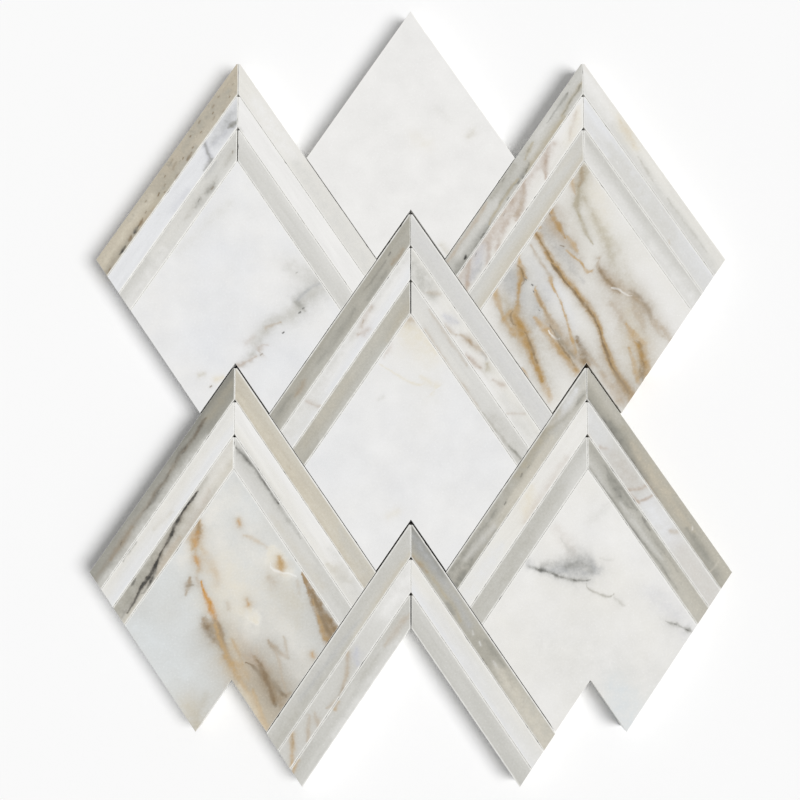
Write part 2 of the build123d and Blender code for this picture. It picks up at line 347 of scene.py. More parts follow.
        Vein("honey", 0.85, 0.65, ((51.6, 30, 1.2), (56.5, 24.6, 2.8), (61, 18.8, 3.0), (65, 13, 2.6),
                                   (69, 7.4, 2.4))),
        Vein("gold", 0.45, 1.0, ((58, 22.4, 1.0), (62, 17.4, 2.0), (66.5, 11.4, 1.6), (69, 8, 1.0))),
        Vein("gold", 0.4, 1.0, ((63, 20.5, 1.0), (67, 16.5, 2.6), (71, 12.6, 1.8))),
        Vein("chalk", 0.8, 0.7, ((57.6, 24.6, 0.5), (60, 21.9, 0.7), (62.2, 21.4, 0.4))),
        Vein("honey", 0.85, 0.8, ((58.6, 46.8, 1.6), (59.6, 43.5, 0.8), (61.6, 39.2, 0.7), (64, 34, 0.7),
                                  (66, 27, 0.9), (67.5, 21.5, 1.0), (69.4, 16, 1.0))),
        Vein("brown", 0.75, 0.65, ((69.5, 20.5, 0.8), (71.3, 16.5, 1.6), (73, 12, 2.6), (73.8, 10, 2.4))),
        Vein("fawn", 0.65, 0.9, ((71.6, 17.4, 0.8), (75, 13.2, 1.2), (79, 8, 1.4), (80.5, 5, 0.8))),
        Vein("fawn", 0.6, 1.0, ((79, 7, 2.0), (82.5, 3.2, 4.0), (87, -4, 5.0))),
        Vein("ink", 0.75, 0.6, ((50.9, 44.3, 0.8), (51.4, 43.8, 0.8))),
        Vein("charcoal", 0.7, 0.6, ((51.6, 41.3, 0.6), (51.9, 40.7, 0.6))),
        Vein("charcoal", 0.8, 0.6, ((47.9, 46.8, 0.8), (48.4, 46.2, 0.8))),
        Vein("charcoal", 0.7, 0.6, ((53.8, 33.3, 0.7), (54.2, 32.8, 0.7))),
        Vein("umber", 0.7, 0.7, ((62.8, 60.7, 0.8), (64.4, 60.2, 0.8))),
        Vein("charcoal", 0.6, 0.7, ((58.6, 75.0, 0.9), (59.2, 73.6, 0.7))),
        Vein("umber", 0.32, 0.85, ((79.3, 51.5, 0.7), (80.6, 48.4, 1.6), (82.6, 46.2, 0.9))),
        Vein("umber", 0.28, 0.85, ((83.6, 45.6, 0.8), (85.6, 43.4, 1.4), (87.4, 41.2, 0.6))),
        Vein("umber", 0.32, 0.85, ((91.6, 41.2, 0.6), (94.4, 40.4, 1.6), (97, 38, 1.0))),
        Vein("umber", 0.28, 0.85, ((97.6, 36.6, 1.0), (99.4, 33.4, 2.0), (100.4, 30, 1.0))),
        Vein("fawn", 0.4, 0.9, ((100.4, 29.6, 0.8), (103, 25.6, 1.6), (105.6, 22, 0.8))),
        Vein("gold", 0.65, 0.8, ((93.5, 20, 0.8), (96.5, 14, 2.0), (98, 8, 2.2), (97, 2, 1.4))),
        Vein("umber", 0.5, 0.8, ((96.6, 12, 0.5), (97.4, 7, 1.2), (96.4, 2, 0.8))),
        Vein("umber", 0.5, 0.9, ((69.6, 22, 0.6), (71.4, 18, 1.8), (73, 13, 2.2))),
        Vein("white", 0.35, 1.0, ((100, 50, 5), (108, 36, 7), (113, 32, 5))),
        Vein("umber", 0.6, 0.7, ((45.2, 52, 0.4), (47.2, 48, 0.7), (46.6, 44, 0.4))),
        Vein("umber", 0.5, 0.7, ((43, 33, 0.5), (42.2, 30, 0.8), (44, 27, 0.5))),
        Vein("umber", 0.55, 0.7, ((47.8, 24, 0.4), (50.4, 17.5, 0.8), (53, 11, 0.5))),
        Vein("umber", 0.5, 0.7, ((58.5, 27, 0.4), (61.5, 21, 0.8), (65, 15.4, 0.6), (68.5, 9.5, 0.5))),
        Vein("slate", 0.45, 0.8, ((60.4, 24.4, 0.8), (64.4, 18.8, 1.6), (68.4, 13.4, 1.2))),
        Vein("umber", 0.6, 0.7, ((52.4, 66.6, 0.4), (56.6, 59.6, 0.7), (60, 53.8, 0.5))),
    ),
    "centre_field": (
        Vein("cream", 0.55, 1.0, ((-4, 25, 8), (2, 20, 12), (8, 14, 8))),
        Vein("milk", 0.3, 1.0, ((-2, 30, 6), (2, 14, 18), (6, -4, 14))),
        Vein("cream", 0.75, 1.0, ((-3, 27.5, 4), (1, 24.5, 6), (6, 21.5, 5), (10, 16, 3))),
        Vein("fawn", 0.6, 1.0, ((-3.4, 28.4, 2.2), (0, 29.6, 3.0), (3, 28.6, 2.4))),
        Vein("blush", 0.35, 1.0, ((-8.4, 19.4, 1.6), (-9.6, 16.6, 2.4), (-11, 13.5, 1.6))),
        Vein("cream", 0.6, 0.9, ((-13, 10.4, 0.6), (-6, 6.2, 0.8), (0, 3.0, 1.0), (5, 2.4, 0.8))),
        Vein("cream", 0.7, 1.0, ((4, 5, 1.2), (8, 2.6, 2.4), (12, -1, 2.6), (8.5, -1.5, 2.0))),
        Vein("pearl", 0.6, 1.0, ((-11.6, -3.2, 1.4), (-13.4, -4.2, 1.6))),
        Vein("cream", 0.35, 1.0, ((-9, -52.5, 3), (-5.5, -50.5, 3))),
    ),
    "lower_left_field": (
        Vein("milk", 0.7, 1.0, ((-52, -98, 6), (-46, -106, 9), (-42, -114, 6))),
        Vein("milk", 0.5, 1.0, ((-62, -84, 8), (-56, -94, 10), (-50, -104, 6))),
        Vein("dove", 0.3, 1.0, ((-112, -90, 8), (-104, -102, 12), (-94, -114, 8))),
        Vein("milk", 0.9, 1.0, ((-80, -48, 6), (-86, -58, 8), (-94, -70, 6))),
        Vein("fawn", 0.55, 1.0, ((-74, -98, 5), (-68, -108, 8), (-64, -118, 6))),
        Vein("brown", 0.3, 1.0, ((-66, -116, 5), (-60, -126, 9), (-56, -138, 9))),
        Vein("cream", 0.45, 1.0, ((-87, -62, 6), (-81, -78, 9), (-73, -92, 7))),
        Vein("fawn", 0.95, 1.0, ((-66, -114, 6), (-60, -124, 12), (-56, -137, 12))),
        Vein("fawn", 0.75, 1.0, ((-72, -106, 7), (-60, -123, 12), (-55, -136, 10))),
        Vein("cream", 0.7, 1.0, ((-84, -86, 5), (-74, -108, 8), (-64, -126, 9), (-58, -142, 8))),
        Vein("milk", 0.55, 1.0, ((-74, -44, 10), (-68, -58, 14), (-60, -74, 10))),
        Vein("ice", 0.7, 1.0, ((-113, -98, 8), (-104, -106, 12), (-92, -118, 8))),
        Vein("milk", 0.65, 1.0, ((-80, -60, 5), (-73, -84, 12), (-66, -100, 8))),
        Vein("sand", 0.55, 1.0, ((-56, -80, 10), (-50, -88, 12), (-46, -96, 6))),
        Vein("sand", 0.95, 1.0, ((-91, -130, 8), (-88.5, -136, 10), (-86, -143, 10))),
        Vein("olive", 0.35, 1.0, ((-84, -126, 2), (-87, -134, 4), (-88, -141, 5))),
        Vein("cream", 0.5, 1.0, ((-77, -72, 8), (-73.5, -81, 14), (-69, -92, 8))),
        Vein("milk", 0.4, 1.0, ((-86, -56, 4), (-82, -66, 8), (-79, -76, 4))),
        Vein("sand", 0.45, 1.0, ((-55, -76, 6), (-51, -82, 8), (-47, -90, 5))),
        Vein("honey", 0.35, 1.0, ((-77, -106, 4), (-73.5, -113, 7), (-69, -120, 5))),
        Vein("brown", 0.35, 1.0, ((-66, -122, 4), (-62, -130, 7), (-58, -138, 6))),
        Vein("honey", 0.85, 0.9, ((-87.4, -54.6, 1.6), (-88.2, -58.5, 3.6), (-89.6, -62.4, 3.8), (-90.4, -66, 1.6))),
        Vein("brown", 0.75, 0.65, ((-87.8, -55, 1.0), (-88, -58.4, 2.0), (-88.2, -62, 1.4))),
        Vein("honey", 0.7, 1.0, ((-89.0, -67, 1.2), (-88.4, -71, 2.4), (-87.6, -74.5, 2.0))),
        Vein("honey", 0.35, 1.0, ((-87, -66, 2), (-83, -72, 4), (-80, -80, 3))),
        Vein("brown", 0.75, 0.85, ((-91.2, -78, 0.8), (-91.8, -81.4, 1.8), (-92.6, -85, 0.7))),
        Vein("umber", 0.5, 0.8, ((-92.4, -81.6, 0.9), (-90, -81, 0.7))),
        Vein("fawn", 0.5, 1.0, ((-88.5, -77.5, 1.2), (-87.4, -81, 2.0))),
        Vein("amber", 1.0, 0.7, ((-86.4, -79.5, 0.7), (-84.4, -85.5, 1.7), (-82.3, -90.5, 2.1), (-80.2, -96.2, 1.9),
                                 (-77.4, -104, 0.8))),
        Vein("brown", 0.85, 0.65, ((-85.6, -94.5, 2.0), (-83, -97.6, 5.0), (-80, -101.4, 5.0), (-78, -105, 2.4))),
        Vein("umber", 0.6, 0.65, ((-84.8, -96.4, 1.0), (-83.2, -99.5, 2.4), (-81.4, -102.5, 1.4))),
        Vein("umber", 0.45, 0.65, ((-81, -94.8, 1.0), (-79.2, -98.4, 2.2), (-77.8, -103, 1.2))),
        Vein("brown", 0.85, 0.8, ((-79.8, -99, 2.0), (-77.6, -104.5, 2.4), (-75.8, -109, 1.9), (-73, -113.6, 1.0))),
        Vein("honey", 0.9, 0.8, ((-80.4, -96, 1.0), (-76.8, -107, 1.6), (-72.6, -115.4, 2.0), (-65.7, -126.5, 2.4),
                                 (-60.1, -137.5, 2.6))),
        Vein("honey", 0.55, 1.0, ((-74.5, -103, 1.0), (-71.5, -107, 1.6), (-69, -113, 1.2))),
        Vein("honey", 0.5, 1.0, ((-73, -112, 2.0), (-69.5, -115, 3.4), (-66, -119, 2.0))),
        Vein("fawn", 0.85, 1.0, ((-68.5, -109.5, 1.4), (-64, -114, 4.0), (-60.4, -119, 5.4), (-57, -124, 6),
                                 (-52.5, -130, 4.4))),
        Vein("brown", 0.75, 1.0, ((-62, -115.5, 2.0), (-59.5, -120, 4.4), (-56, -125.4, 4.6), (-53.4, -129.4, 2.4))),
        Vein("brown", 0.55, 0.65, ((-54.6, -127, 1.4), (-52.2, -126, 1.6), (-49.4, -124.6, 1.2))),
        Vein("brown", 0.55, 0.85, ((-58.4, -103.4, 0.9), (-56, -106.4, 1.8), (-53, -109, 1.5), (-50.6, -110.6, 0.9))),
        Vein("fawn", 0.6, 0.9, ((-52.4, -102, 0.6), (-51.4, -106, 0.9), (-50.8, -110, 1.0))),
        Vein("fawn", 0.6, 0.9, ((-55, -108.6, 0.8), (-53.6, -114, 1.2), (-52.2, -119.5, 0.9), (-51.2, -125, 0.9))),
        Vein("honey", 0.75, 0.65, ((-64.4, -123.5, 1.0), (-62.8, -129.5, 1.6), (-60.2, -135.6, 1.8),
                                   (-57.6, -142, 2.4))),
        Vein("cream", 0.5, 1.0, ((-70, -122, 2.0), (-65, -131, 5.0), (-60, -140, 5))),
        Vein("brown", 1.1, 0.35, ((-44.6, -76.0, 0.6), (-41.5, -83.2, 2.2), (-38.2, -90, 3.6), (-35, -96.6, 4.8),
                                  (-31, -104.5, 6.0))),
        Vein("umber", 0.6, 0.65, ((-42, -82, 0.4), (-38.6, -88.6, 1.6), (-36, -95.5, 1.6), (-32.4, -101.5, 1.0))),
        Vein("umber", 0.45, 0.65, ((-38, -87, 0.5), (-34.4, -94, 1.4), (-31, -100, 1.2))),
        Vein("honey", 0.45, 0.65, ((-40.4, -86.5, 0.4), (-38.4, -93.5, 1.2), (-35.2, -102.5, 1.6))),
        Vein("chalk", 0.95, 0.7, ((-57.4, -66.2, 3.0), (-55.2, -71, 6.4), (-52, -75.6, 5.0))),
        Vein("cream", 0.85, 0.7, ((-57.6, -66, 2.6), (-55.4, -70.6, 5.6), (-52, -75.4, 4.4))),
        Vein("honey", 0.85, 0.9, ((-54.2, -70.0, 1.8), (-53.6, -73.2, 3.6), (-53.4, -75.6, 1.8))),
        Vein("chalk", 0.8, 0.8, ((-57.6, -72, 0.5), (-54.5, -75.8, 0.9), (-50.5, -76.4, 0.8), (-47.4, -77.4, 0.4))),
        Vein("chalk", 0.85, 0.8, ((-66.4, -90.6, 2.0), (-64.8, -93.6, 4.0), (-63.2, -96, 2.0))),
        Vein("cream", 0.8, 0.7, ((-66.2, -91, 1.6), (-64.8, -93.8, 3.2), (-63.4, -96, 1.6))),
        Vein("honey", 0.6, 1.0, ((-71.6, -54.4, 1.8), (-71, -56.6, 2.0))),
        Vein("honey", 0.65, 1.0, ((-67.4, -86.8, 1.8), (-66.6, -89, 2.2))),
        Vein("honey", 0.6, 1.0, ((-40.6, -108.4, 1.8), (-40, -110.4, 2.2))),
        Vein("honey", 0.35, 1.0, ((-69, -60.6, 1.0), (-64, -62.8, 1.4), (-59.6, -65.4, 1.0))),
        Vein("fawn", 0.4, 1.0, ((-58.4, -77.8, 2.0), (-56.4, -80.6, 2.6))),
        Vein("fawn", 0.45, 1.0, ((-75.6, -88.4, 1.4), (-75, -90.4, 1.6))),
        Vein("fawn", 0.35, 1.0, ((-46.8, -79.4, 1.0), (-46.2, -84, 1.4))),
        Vein("amber", 0.6, 0.8, ((-88.6, -69.5, 1.4), (-88.2, -71.4, 2.0), (-87.6, -73, 1.4))),
        Vein("amber", 0.5, 0.9, ((-88.2, -59, 1.0), (-88.8, -62, 2.0), (-89.4, -65, 1.0))),
        Vein("umber", 0.7, 0.55, ((-67.4, -112.4, 0.5), (-61.2, -117.5, 1.6), (-57.6, -122.3, 0.8))),
        Vein("umber", 0.75, 0.55, ((-60.3, -115.4, 0.6), (-57, -120.8, 2.2), (-51.4, -125.8, 1.0))),
        Vein("umber", 0.7, 0.55, ((-57.8, -122.2, 0.8), (-56.2, -126.4, 2.2), (-55.4, -130, 0.7))),
        Vein("amber", 0.4, 0.9, ((-71.6, -54.8, 1.2), (-71.1, -56.2, 1.4))),
        Vein("amber", 0.4, 0.9, ((-67.3, -87.2, 1.2), (-66.7, -88.8, 1.5))),
        Vein("amber", 0.45, 0.9, ((-40.5, -108.8, 1.2), (-40.1, -110.2, 1.5))),
        Vein("taupe", 0.25, 1.0, ((-62, -118, 5), (-57, -127, 7), (-54, -135, 6))),
        Vein("blush", 0.5, 0.9, ((-66, -108, 1.5), (-62.4, -112, 3.0), (-59, -114.6, 1.5))),
        Vein("brown", 0.6, 0.65, ((-64.4, -109.6, 0.8), (-61.4, -114.4, 2.4), (-58.6, -120.4, 2.8),
                                  (-56.2, -127.4, 2.4))),
        Vein("umber", 0.6, 0.55, ((-63.2, -111.3, 0.6), (-60.4, -116.6, 1.6), (-58, -122.6, 1.4),
                                  (-55.8, -129, 1.0))),
        Vein("milk", 0.3, 1.0, ((-52, -110, 4), (-49, -114, 6), (-46, -118, 4))),
    ),
    "lower_right_field": (
        Vein("lilac", 0.4, 1.0, ((99, -84, 5), (107, -92, 8), (113, -100, 6))),
        Vein("slate", 0.4, 1.0, ((54, -73, 2.5), (61, -72.5, 4.5), (68, -71.5, 7), (75, -73.5, 4))),
        Vein("pearl", 0.45, 1.0, ((56, -104, 16), (76, -114, 26), (98, -118, 16))),
        Vein("ice", 0.85, 1.0, ((84, -122, 8), (88, -132, 14), (90, -142, 12))),
        Vein("pearl", 0.5, 1.0, ((73.5, -55, 2.4), (76.5, -53, 4.4), (80.5, -50.5, 3.0))),
        Vein("pearl", 0.4, 1.0, ((80, -48.6, 1.4), (84.5, -45.8, 2.4))),
        Vein("blush", 0.22, 1.0, ((60.4, -58, 3), (63.6, -63, 5), (67, -68, 3))),
        Vein("silver", 0.6, 0.9, ((61.8, -61.4, 0.6), (63.8, -64.6, 1.0), (66.6, -68, 1.0))),
        Vein("smoke", 0.95, 1.0, ((54, -75, 2.0), (62, -75, 4.4), (67, -74, 7.0), (72.5, -74.4, 7.6),
                                  (77, -75.2, 3.0))),
        Vein("slate", 0.55, 1.0, ((64, -73.6, 1.8), (67.4, -72.8, 3.6), (70.4, -72.2, 2.0))),
        Vein("slate", 0.45, 1.0, ((71.4, -73.4, 1.0), (73.4, -74, 2.4), (74.6, -75.4, 1.4))),
        Vein("smoke", 0.75, 1.0, ((47.6, -70.4, 2.0), (49, -72.8, 2.6), (51, -74.2, 1.4))),
        Vein("slate", 0.65, 1.0, ((48.6, -73.4, 0.9), (51.5, -74.3, 1.0), (54.2, -75, 1.6), (58, -76.2, 1.1),
                                  (62, -77.5, 1.4), (66, -78.8, 1.3), (70, -79.0, 1.2), (74, -78.6, 0.5))),
        Vein("ink", 0.5, 0.9, ((52.4, -74.5, 0.4), (54.0, -74.9, 1.1), (56.2, -75.6, 0.4))),
        Vein("charcoal", 0.5, 0.9, ((58.2, -76.3, 0.3), (60.4, -77.0, 0.9), (63, -77.9, 0.4))),
        Vein("charcoal", 0.45, 0.9, ((67, -78.9, 0.3), (70, -79.1, 0.9), (72.4, -79.0, 0.4))),
        Vein("taupe", 0.75, 0.95, ((72.4, -80.4, 0.5), (75, -83.4, 0.9), (79.4, -85, 1.0), (83.4, -84.8, 0.6))),
        Vein("ash", 0.5, 1.0, ((83.6, -86, 0.8), (86, -88, 1.2), (88, -89.4, 0.6))),
        Vein("silver", 0.5, 1.0, ((78.4, -69.8, 0.8), (82.8, -71, 1.0))),
        Vein("pearl", 0.7, 1.0, ((102.5, -94.2, 1.0), (107, -96.4, 3.0), (114, -99.4, 2.4))),
        Vein("slate", 0.75, 0.9, ((104.4, -95.4, 0.4), (107.6, -96.8, 1.2), (109.4, -97.4, 1.4), (111.4, -98.2, 0.6),
                                  (113.6, -99.2, 1.5), (115, -99.6, 0.8))),
        Vein("charcoal", 0.65, 0.8, ((108.2, -97.0, 0.9), (109.2, -97.5, 0.9))),
        Vein("charcoal", 0.65, 0.8, ((113.0, -99.0, 0.9), (113.9, -99.5, 0.9))),
    ),
    "upper_left_outer_left_strip": (
        Vein("sand", 0.4, 1.0, ((24, 6.4, 3), (38, 6.4, 4.4), (52, 6.4, 3))),
        Vein("brown", 0.16, 1.0, ((0, 3, 6), (50, 3, 8), (106, 4, 9))),
        Vein("olive", 0.5, 1.0, ((56, 6.4, 3), (80, 6.2, 5), (106, 6, 5))),
        Vein("brown", 0.35, 1.0, ((72, 6.6, 2), (90, 6.4, 5), (106, 6.2, 5))),
        Vein("taupe", 0.35, 1.0, ((58, 1.6, 2), (68, 1.8, 4), (80, 1.6, 2))),
        Vein("slate", 0.5, 1.0, ((84, 6.2, 2), (96, 6.2, 4), (106, 6, 3))),
        Vein("taupe", 0.6, 1.0, ((12, 3.5, 2), (22, 3, 5), (32, 2, 4), (44, 3, 2))),
        Vein("taupe", 0.5, 1.0, ((40, 6, 2), (52, 6, 4), (64, 5, 3))),
        Vein("cream", 0.45, 1.0, ((68, 3, 3), (84, 3, 5), (104, 3, 5))),
        Vein("umber", 0.7, 0.9, ((42.6, 6.2, 0.6), (44.6, 6.3, 1.0), (46.6, 6.4, 0.5))),
        Vein("umber", 0.6, 0.9, ((52.5, 6.8, 0.5), (54.6, 6.9, 0.9), (56.4, 7.0, 0.4))),
        Vein("umber", 0.8, 0.8, ((64.8, 4.9, 1.0), (66, 5.2, 0.9))),
        Vein("umber", 0.65, 0.9, ((77.6, 5.4, 0.5), (79.6, 5.9, 1.1), (81.4, 6, 0.5))),
        Vein("ink", 0.9, 0.8, ((81.6, 6.1, 0.6), (83, 6.2, 1.3), (84.8, 6.3, 0.7))),
        Vein("umber", 0.75, 0.9, ((86.6, 5.9, 0.6), (88, 6.1, 1.1), (89.2, 6.2, 0.4))),
        Vein("ink", 0.9, 0.8, ((91.6, 6.3, 0.5), (93.4, 6.5, 1.3), (95.2, 6.5, 0.7))),
        Vein("umber", 0.7, 0.9, ((102.6, 6.9, 0.8), (104.6, 7.1, 0.8))),
        Vein("umber", 0.55, 0.9, ((20.6, 2.2, 1.3), (21.8, 2.2, 1.3))),
        Vein("umber", 0.5, 0.9, ((24.6, 5.1, 1.1), (26, 5.2, 1.1))),
        Vein("umber", 0.5, 0.9, ((29.4, 0.9, 1.0), (30.6, 1.0, 1.0))),
        Vein("umber", 0.5, 0.9, ((49.8, 1.2, 1.3), (51.4, 1.4, 1.1))),
        Vein("umber", 0.5, 0.9, ((60.2, 4.6, 1.1), (61, 4.8, 1.1))),
        Vein("umber", 0.4, 0.9, ((19.8, 6.5, 1.1), (20.9, 6.6, 1.1))),
        Vein("umber", 0.4, 0.9, ((50, 3.2, 0.8), (53, 3.5, 0.9))),
        Vein("umber", 0.6, 0.7, ((8.2, 3.4, 0.9), (8.9, 3.4, 0.9))),
        Vein("umber", 0.7, 0.7, ((13.4, 5.4, 0.8), (14.1, 5.4, 0.8))),
        Vein("umber", 0.6, 0.7, ((16.4, 1.4, 0.9), (17.1, 1.4, 0.9))),
        Vein("umber", 0.7, 0.7, ((23.2, 3.6, 0.8), (23.9, 3.6, 0.8))),
        Vein("umber", 0.6, 0.7, ((33.2, 4.4, 1.0), (33.9, 4.4, 1.0))),
        Vein("umber", 0.7, 0.7, ((36.8, 1.6, 0.8), (37.5, 1.6, 0.8))),
        Vein("umber", 0.6, 0.7, ((40.4, 5.2, 0.9), (41.1, 5.2, 0.9))),
        Vein("umber", 0.7, 0.7, ((46.8, 4.6, 0.8), (47.5, 4.6, 0.8))),
        Vein("umber", 0.6, 0.7, ((57.4, 2.6, 0.9), (58.1, 2.6, 0.9))),
        Vein("umber", 0.7, 0.7, ((62.6, 6.6, 0.8), (63.3, 6.6, 0.8))),
        Vein("umber", 0.6, 0.7, ((70.2, 2.2, 0.9), (70.9, 2.2, 0.9))),
        Vein("umber", 0.7, 0.7, ((74.4, 5.0, 0.8), (75.1, 5.0, 0.8))),
    ),
    "upper_left_middle_left_strip": (
        Vein("smoke", 0.8, 1.0, ((2, 3, 4), (12, 3.4, 6), (22, 3, 3))),
        Vein("lilac", 0.5, 1.0, ((12, 5, 2), (17, 4.4, 2), (23, 3.6, 1))),
        Vein("lilac", 0.9, 0.9, ((24.4, -0.4, 2.2), (26.2, 2.2, 1.9), (27.6, 4.2, 2.0), (29.6, 6.8, 2.2))),
        Vein("slate", 0.6, 0.9, ((24.8, 0.2, 1.2), (26.8, 3, 1.0), (28.2, 5.2, 1.0), (30, 7, 1.4))),
        Vein("slate", 0.65, 0.9, ((28.6, 6.6, 1.0), (31, 6.9, 1.8), (34, 6.8, 0.8))),
        Vein("slate", 0.85, 0.8, ((8.6, 6.2, 1.2), (10.4, 5.6, 1.6), (13.4, 4.6, 0.8))),
        Vein("lilac", 0.4, 1.0, ((45, 6, 2), (50, 6, 3), (56, 5.5, 2))),
    ),
    "upper_left_inner_left_strip": (
        Vein("milk", 0.4, 1.0, ((26, 1.6, 3), (46, 1.8, 5), (64, 2, 3))),
        Vein("dove", 0.8, 1.0, ((68, 2, 3), (82, 2, 5), (92, 2, 5))),
        Vein("white", 0.5, 1.0, ((60, 5, 3), (76, 5, 6), (90, 5, 5))),
        Vein("taupe", 0.4, 1.0, ((7, 4.4, 1.6), (11, 4.4, 2.4), (15, 4.4, 1.2))),
        Vein("taupe", 0.35, 1.0, ((21, 4.6, 1), (26, 5.2, 3.0), (33, 4.8, 3.2), (39, 4.4, 2.4), (44, 4.2, 0.8))),
        Vein("slate", 0.5, 1.0, ((24, 5.4, 0.8), (27, 5.4, 2.0), (30, 4.6, 1.0))),
        Vein("slate", 0.45, 1.0, ((32.6, 4, 0.8), (34.5, 4.8, 2.0), (37, 4.8, 0.8))),
        Vein("smoke", 0.4, 1.0, ((16, 0.4, 1), (20, 0.6, 1.6), (24, 0.4, 1))),
        Vein("umber", 0.5, 0.8, ((8.2, 4.0, 0.8), (9, 4.4, 0.8))),
        Vein("umber", 0.45, 0.8, ((25.6, 5.8, 1.0), (27, 5.8, 1.0))),
        Vein("charcoal", 0.5, 0.7, ((33.4, 4.2, 0.8), (34.4, 4.4, 0.8))),
    ),
    "upper_left_outer_right_strip": (
        Vein("white", 0.8, 1.0, ((18, 3, 4), (34, 3.5, 8), (48, 3, 4))),
        Vein("pearl", 0.8, 1.0, ((50, 4, 4), (70, 4, 9), (104, 4, 9))),
    ),
    "upper_left_middle_right_strip": (
        Vein("slate", 0.7, 0.9, ((8.2, 7.0, 1.4), (9.4, 7.4, 1.4))),
        Vein("slate", 0.7, 0.9, ((11.6, 7.4, 1.0), (13.4, 7.6, 1.0))),
    ),
    "upper_right_outer_left_strip": (
        Vein("taupe", 0.3, 1.0, ((26, 6.4, 4), (60, 6.4, 5), (106, 6.4, 5))),
        Vein("olive", 0.95, 1.0, ((24, 6.6, 2), (38, 6.6, 3.8), (52, 6.6, 2))),
        Vein("slate", 0.65, 1.0, ((78, 5.6, 2), (92, 6, 4), (106, 6, 4))),
        Vein("pearl", 0.6, 1.0, ((24, 2.5, 3), (36, 2.5, 4), (46, 4.5, 3))),
        Vein("pearl", 0.6, 1.0, ((70, 3, 3), (84, 3.4, 4.4), (98, 3, 3))),
        Vein("taupe", 0.7, 1.0, ((53, 0.4, 2), (60, 0.8, 3.0), (70, 0.4, 2))),
        Vein("olive", 0.9, 0.9, ((6, 4.2, 0.7), (11, 4.6, 1.3), (17, 4.8, 1.3), (24, 5.5, 0.8))),
        Vein("slate", 0.75, 0.9, ((8, 4.4, 0.3), (12, 4.7, 0.7), (18, 5, 0.6), (23, 5.4, 0.3))),
        Vein("slate", 0.7, 0.9, ((14, 1.8, 0.5), (18.5, 2.0, 1.2), (23, 2.1, 0.8), (30, 2.0, 0.3))),
        Vein("olive", 0.8, 0.9, ((40, 1.8, 0.5), (44, 2.1, 1.2), (48.6, 3.2, 0.6))),
        Vein("slate", 0.75, 0.9, ((49, 5.4, 0.8), (53.5, 5.9, 1.7), (58, 5.8, 1.2), (62, 5.0, 1.0), (70, 4.7, 0.5))),
        Vein("olive", 0.8, 0.9, ((57, 5.4, 0.8), (64, 5.0, 1.0), (73, 5.4, 1.0), (80, 6.2, 0.6))),
        Vein("fawn", 0.55, 0.9, ((73, 0.2, 0.8), (78, 0.6, 1.5), (86, 0.9, 1.4), (98, 0.8, 1.2), (104, 0.6, 1.0))),
        Vein("slate", 0.8, 0.9, ((81, 6.6, 0.4), (86, 7.0, 1.1), (94, 7.2, 0.9), (104, 7.6, 1.2))),
        Vein("ink", 1.0, 0.5, ((96.6, 6.0, 0.5), (97.6, 6.2, 1.0), (98.6, 6.4, 0.5))),
        Vein("charcoal", 0.7, 0.9, ((84, 7.0, 0.5), (86, 7.2, 0.9), (87.6, 7.3, 0.4))),
        Vein("fawn", 0.7, 1.0, ((38, 7.6, 0.8), (43, 7.8, 1.4), (47, 7.7, 0.6))),
        Vein("charcoal", 0.6, 0.7, ((51, 6.2, 0.8), (52.4, 6.3, 0.8))),
        Vein("charcoal", 0.6, 0.7, ((54.4, 6.6, 0.9), (55.8, 6.6, 0.9))),
        Vein("charcoal", 0.5, 0.7, ((57.6, 6.1, 0.8), (58.8, 6.1, 0.8))),
        Vein("charcoal", 0.55, 0.7, ((66, 6.6, 0.7), (67.2, 6.7, 0.7))),
        Vein("charcoal", 0.6, 0.7, ((83.8, 7.2, 0.9), (85.2, 7.3, 0.9))),
        Vein("charcoal", 0.6, 0.7, ((90.2, 7.2, 0.8), (91, 7.2, 0.8))),
        Vein("slate", 0.6, 0.8, ((60, 0.4, 0.8), (61.6, 0.5, 1.0))),
        Vein("slate", 0.5, 0.8, ((43.6, 2.0, 0.9), (45.2, 2.2, 0.9))),
    ),
    "upper_right_middle_left_strip": (
        Vein("fawn", 0.4, 1.0, ((50, 0.8, 3), (62, 0.8, 4), (78, 0.8, 4), (98, 1.2, 4))),
        Vein("white", 0.4, 1.0, ((50, 6.2, 3), (62, 6.2, 4), (74, 6.2, 3))),
        Vein("blush", 0.5, 1.0, ((24, 1.2, 3), (58, 1.0, 4), (100, 1.6, 5))),
        Vein("silver", 0.5, 1.0, ((80, 4, 4), (90, 4, 8), (100, 4, 8))),
        Vein("cream", 0.5, 1.0, ((5, 1, 2), (12, 4, 4), (20, 6, 3))),
        Vein("blush", 0.35, 1.0, ((7, 1.6, 1.0), (13, 3.4, 1.6), (19, 5.4, 1.0))),
        Vein("blush", 0.85, 0.9, ((26, -0.4, 2.6), (29.5, 1.2, 2.4), (33, 3.2, 2.4), (36, 5.2, 1.6), (38.5, 7, 0.8))),
        Vein("blush", 0.85, 0.9, ((44, -0.2, 1.0), (48, 1.8, 2.2), (52, 4, 2.4), (56, 5.4, 3.0), (60, 6.4, 1.6))),
        Vein("blush", 0.7, 0.9, ((54, 0.4, 1.0), (58.5, 2.0, 2.8), (62, 3.4, 2.2), (67, 4.4, 2.2), (72, 5.8, 1.8),
                                 (77, 7.6, 0.8))),
        Vein("fawn", 0.5, 0.9, ((47, 1.6, 0.5), (53, 4.3, 1.0), (58, 5.6, 1.2), (60, 3, 0.5))),
        Vein("blush", 0.75, 0.9, ((71, 0.6, 1.0), (75, 2.8, 1.8), (79, 5, 1.8), (84, 7.6, 1.0))),
        Vein("lilac", 0.7, 1.0, ((78, 0.8, 3.0), (84, 2.6, 5.0), (92, 4.4, 3.0))),
        Vein("smoke", 0.5, 1.0, ((84, 5.2, 1.0), (88, 5.2, 2.4), (92, 4.6, 1.0))),
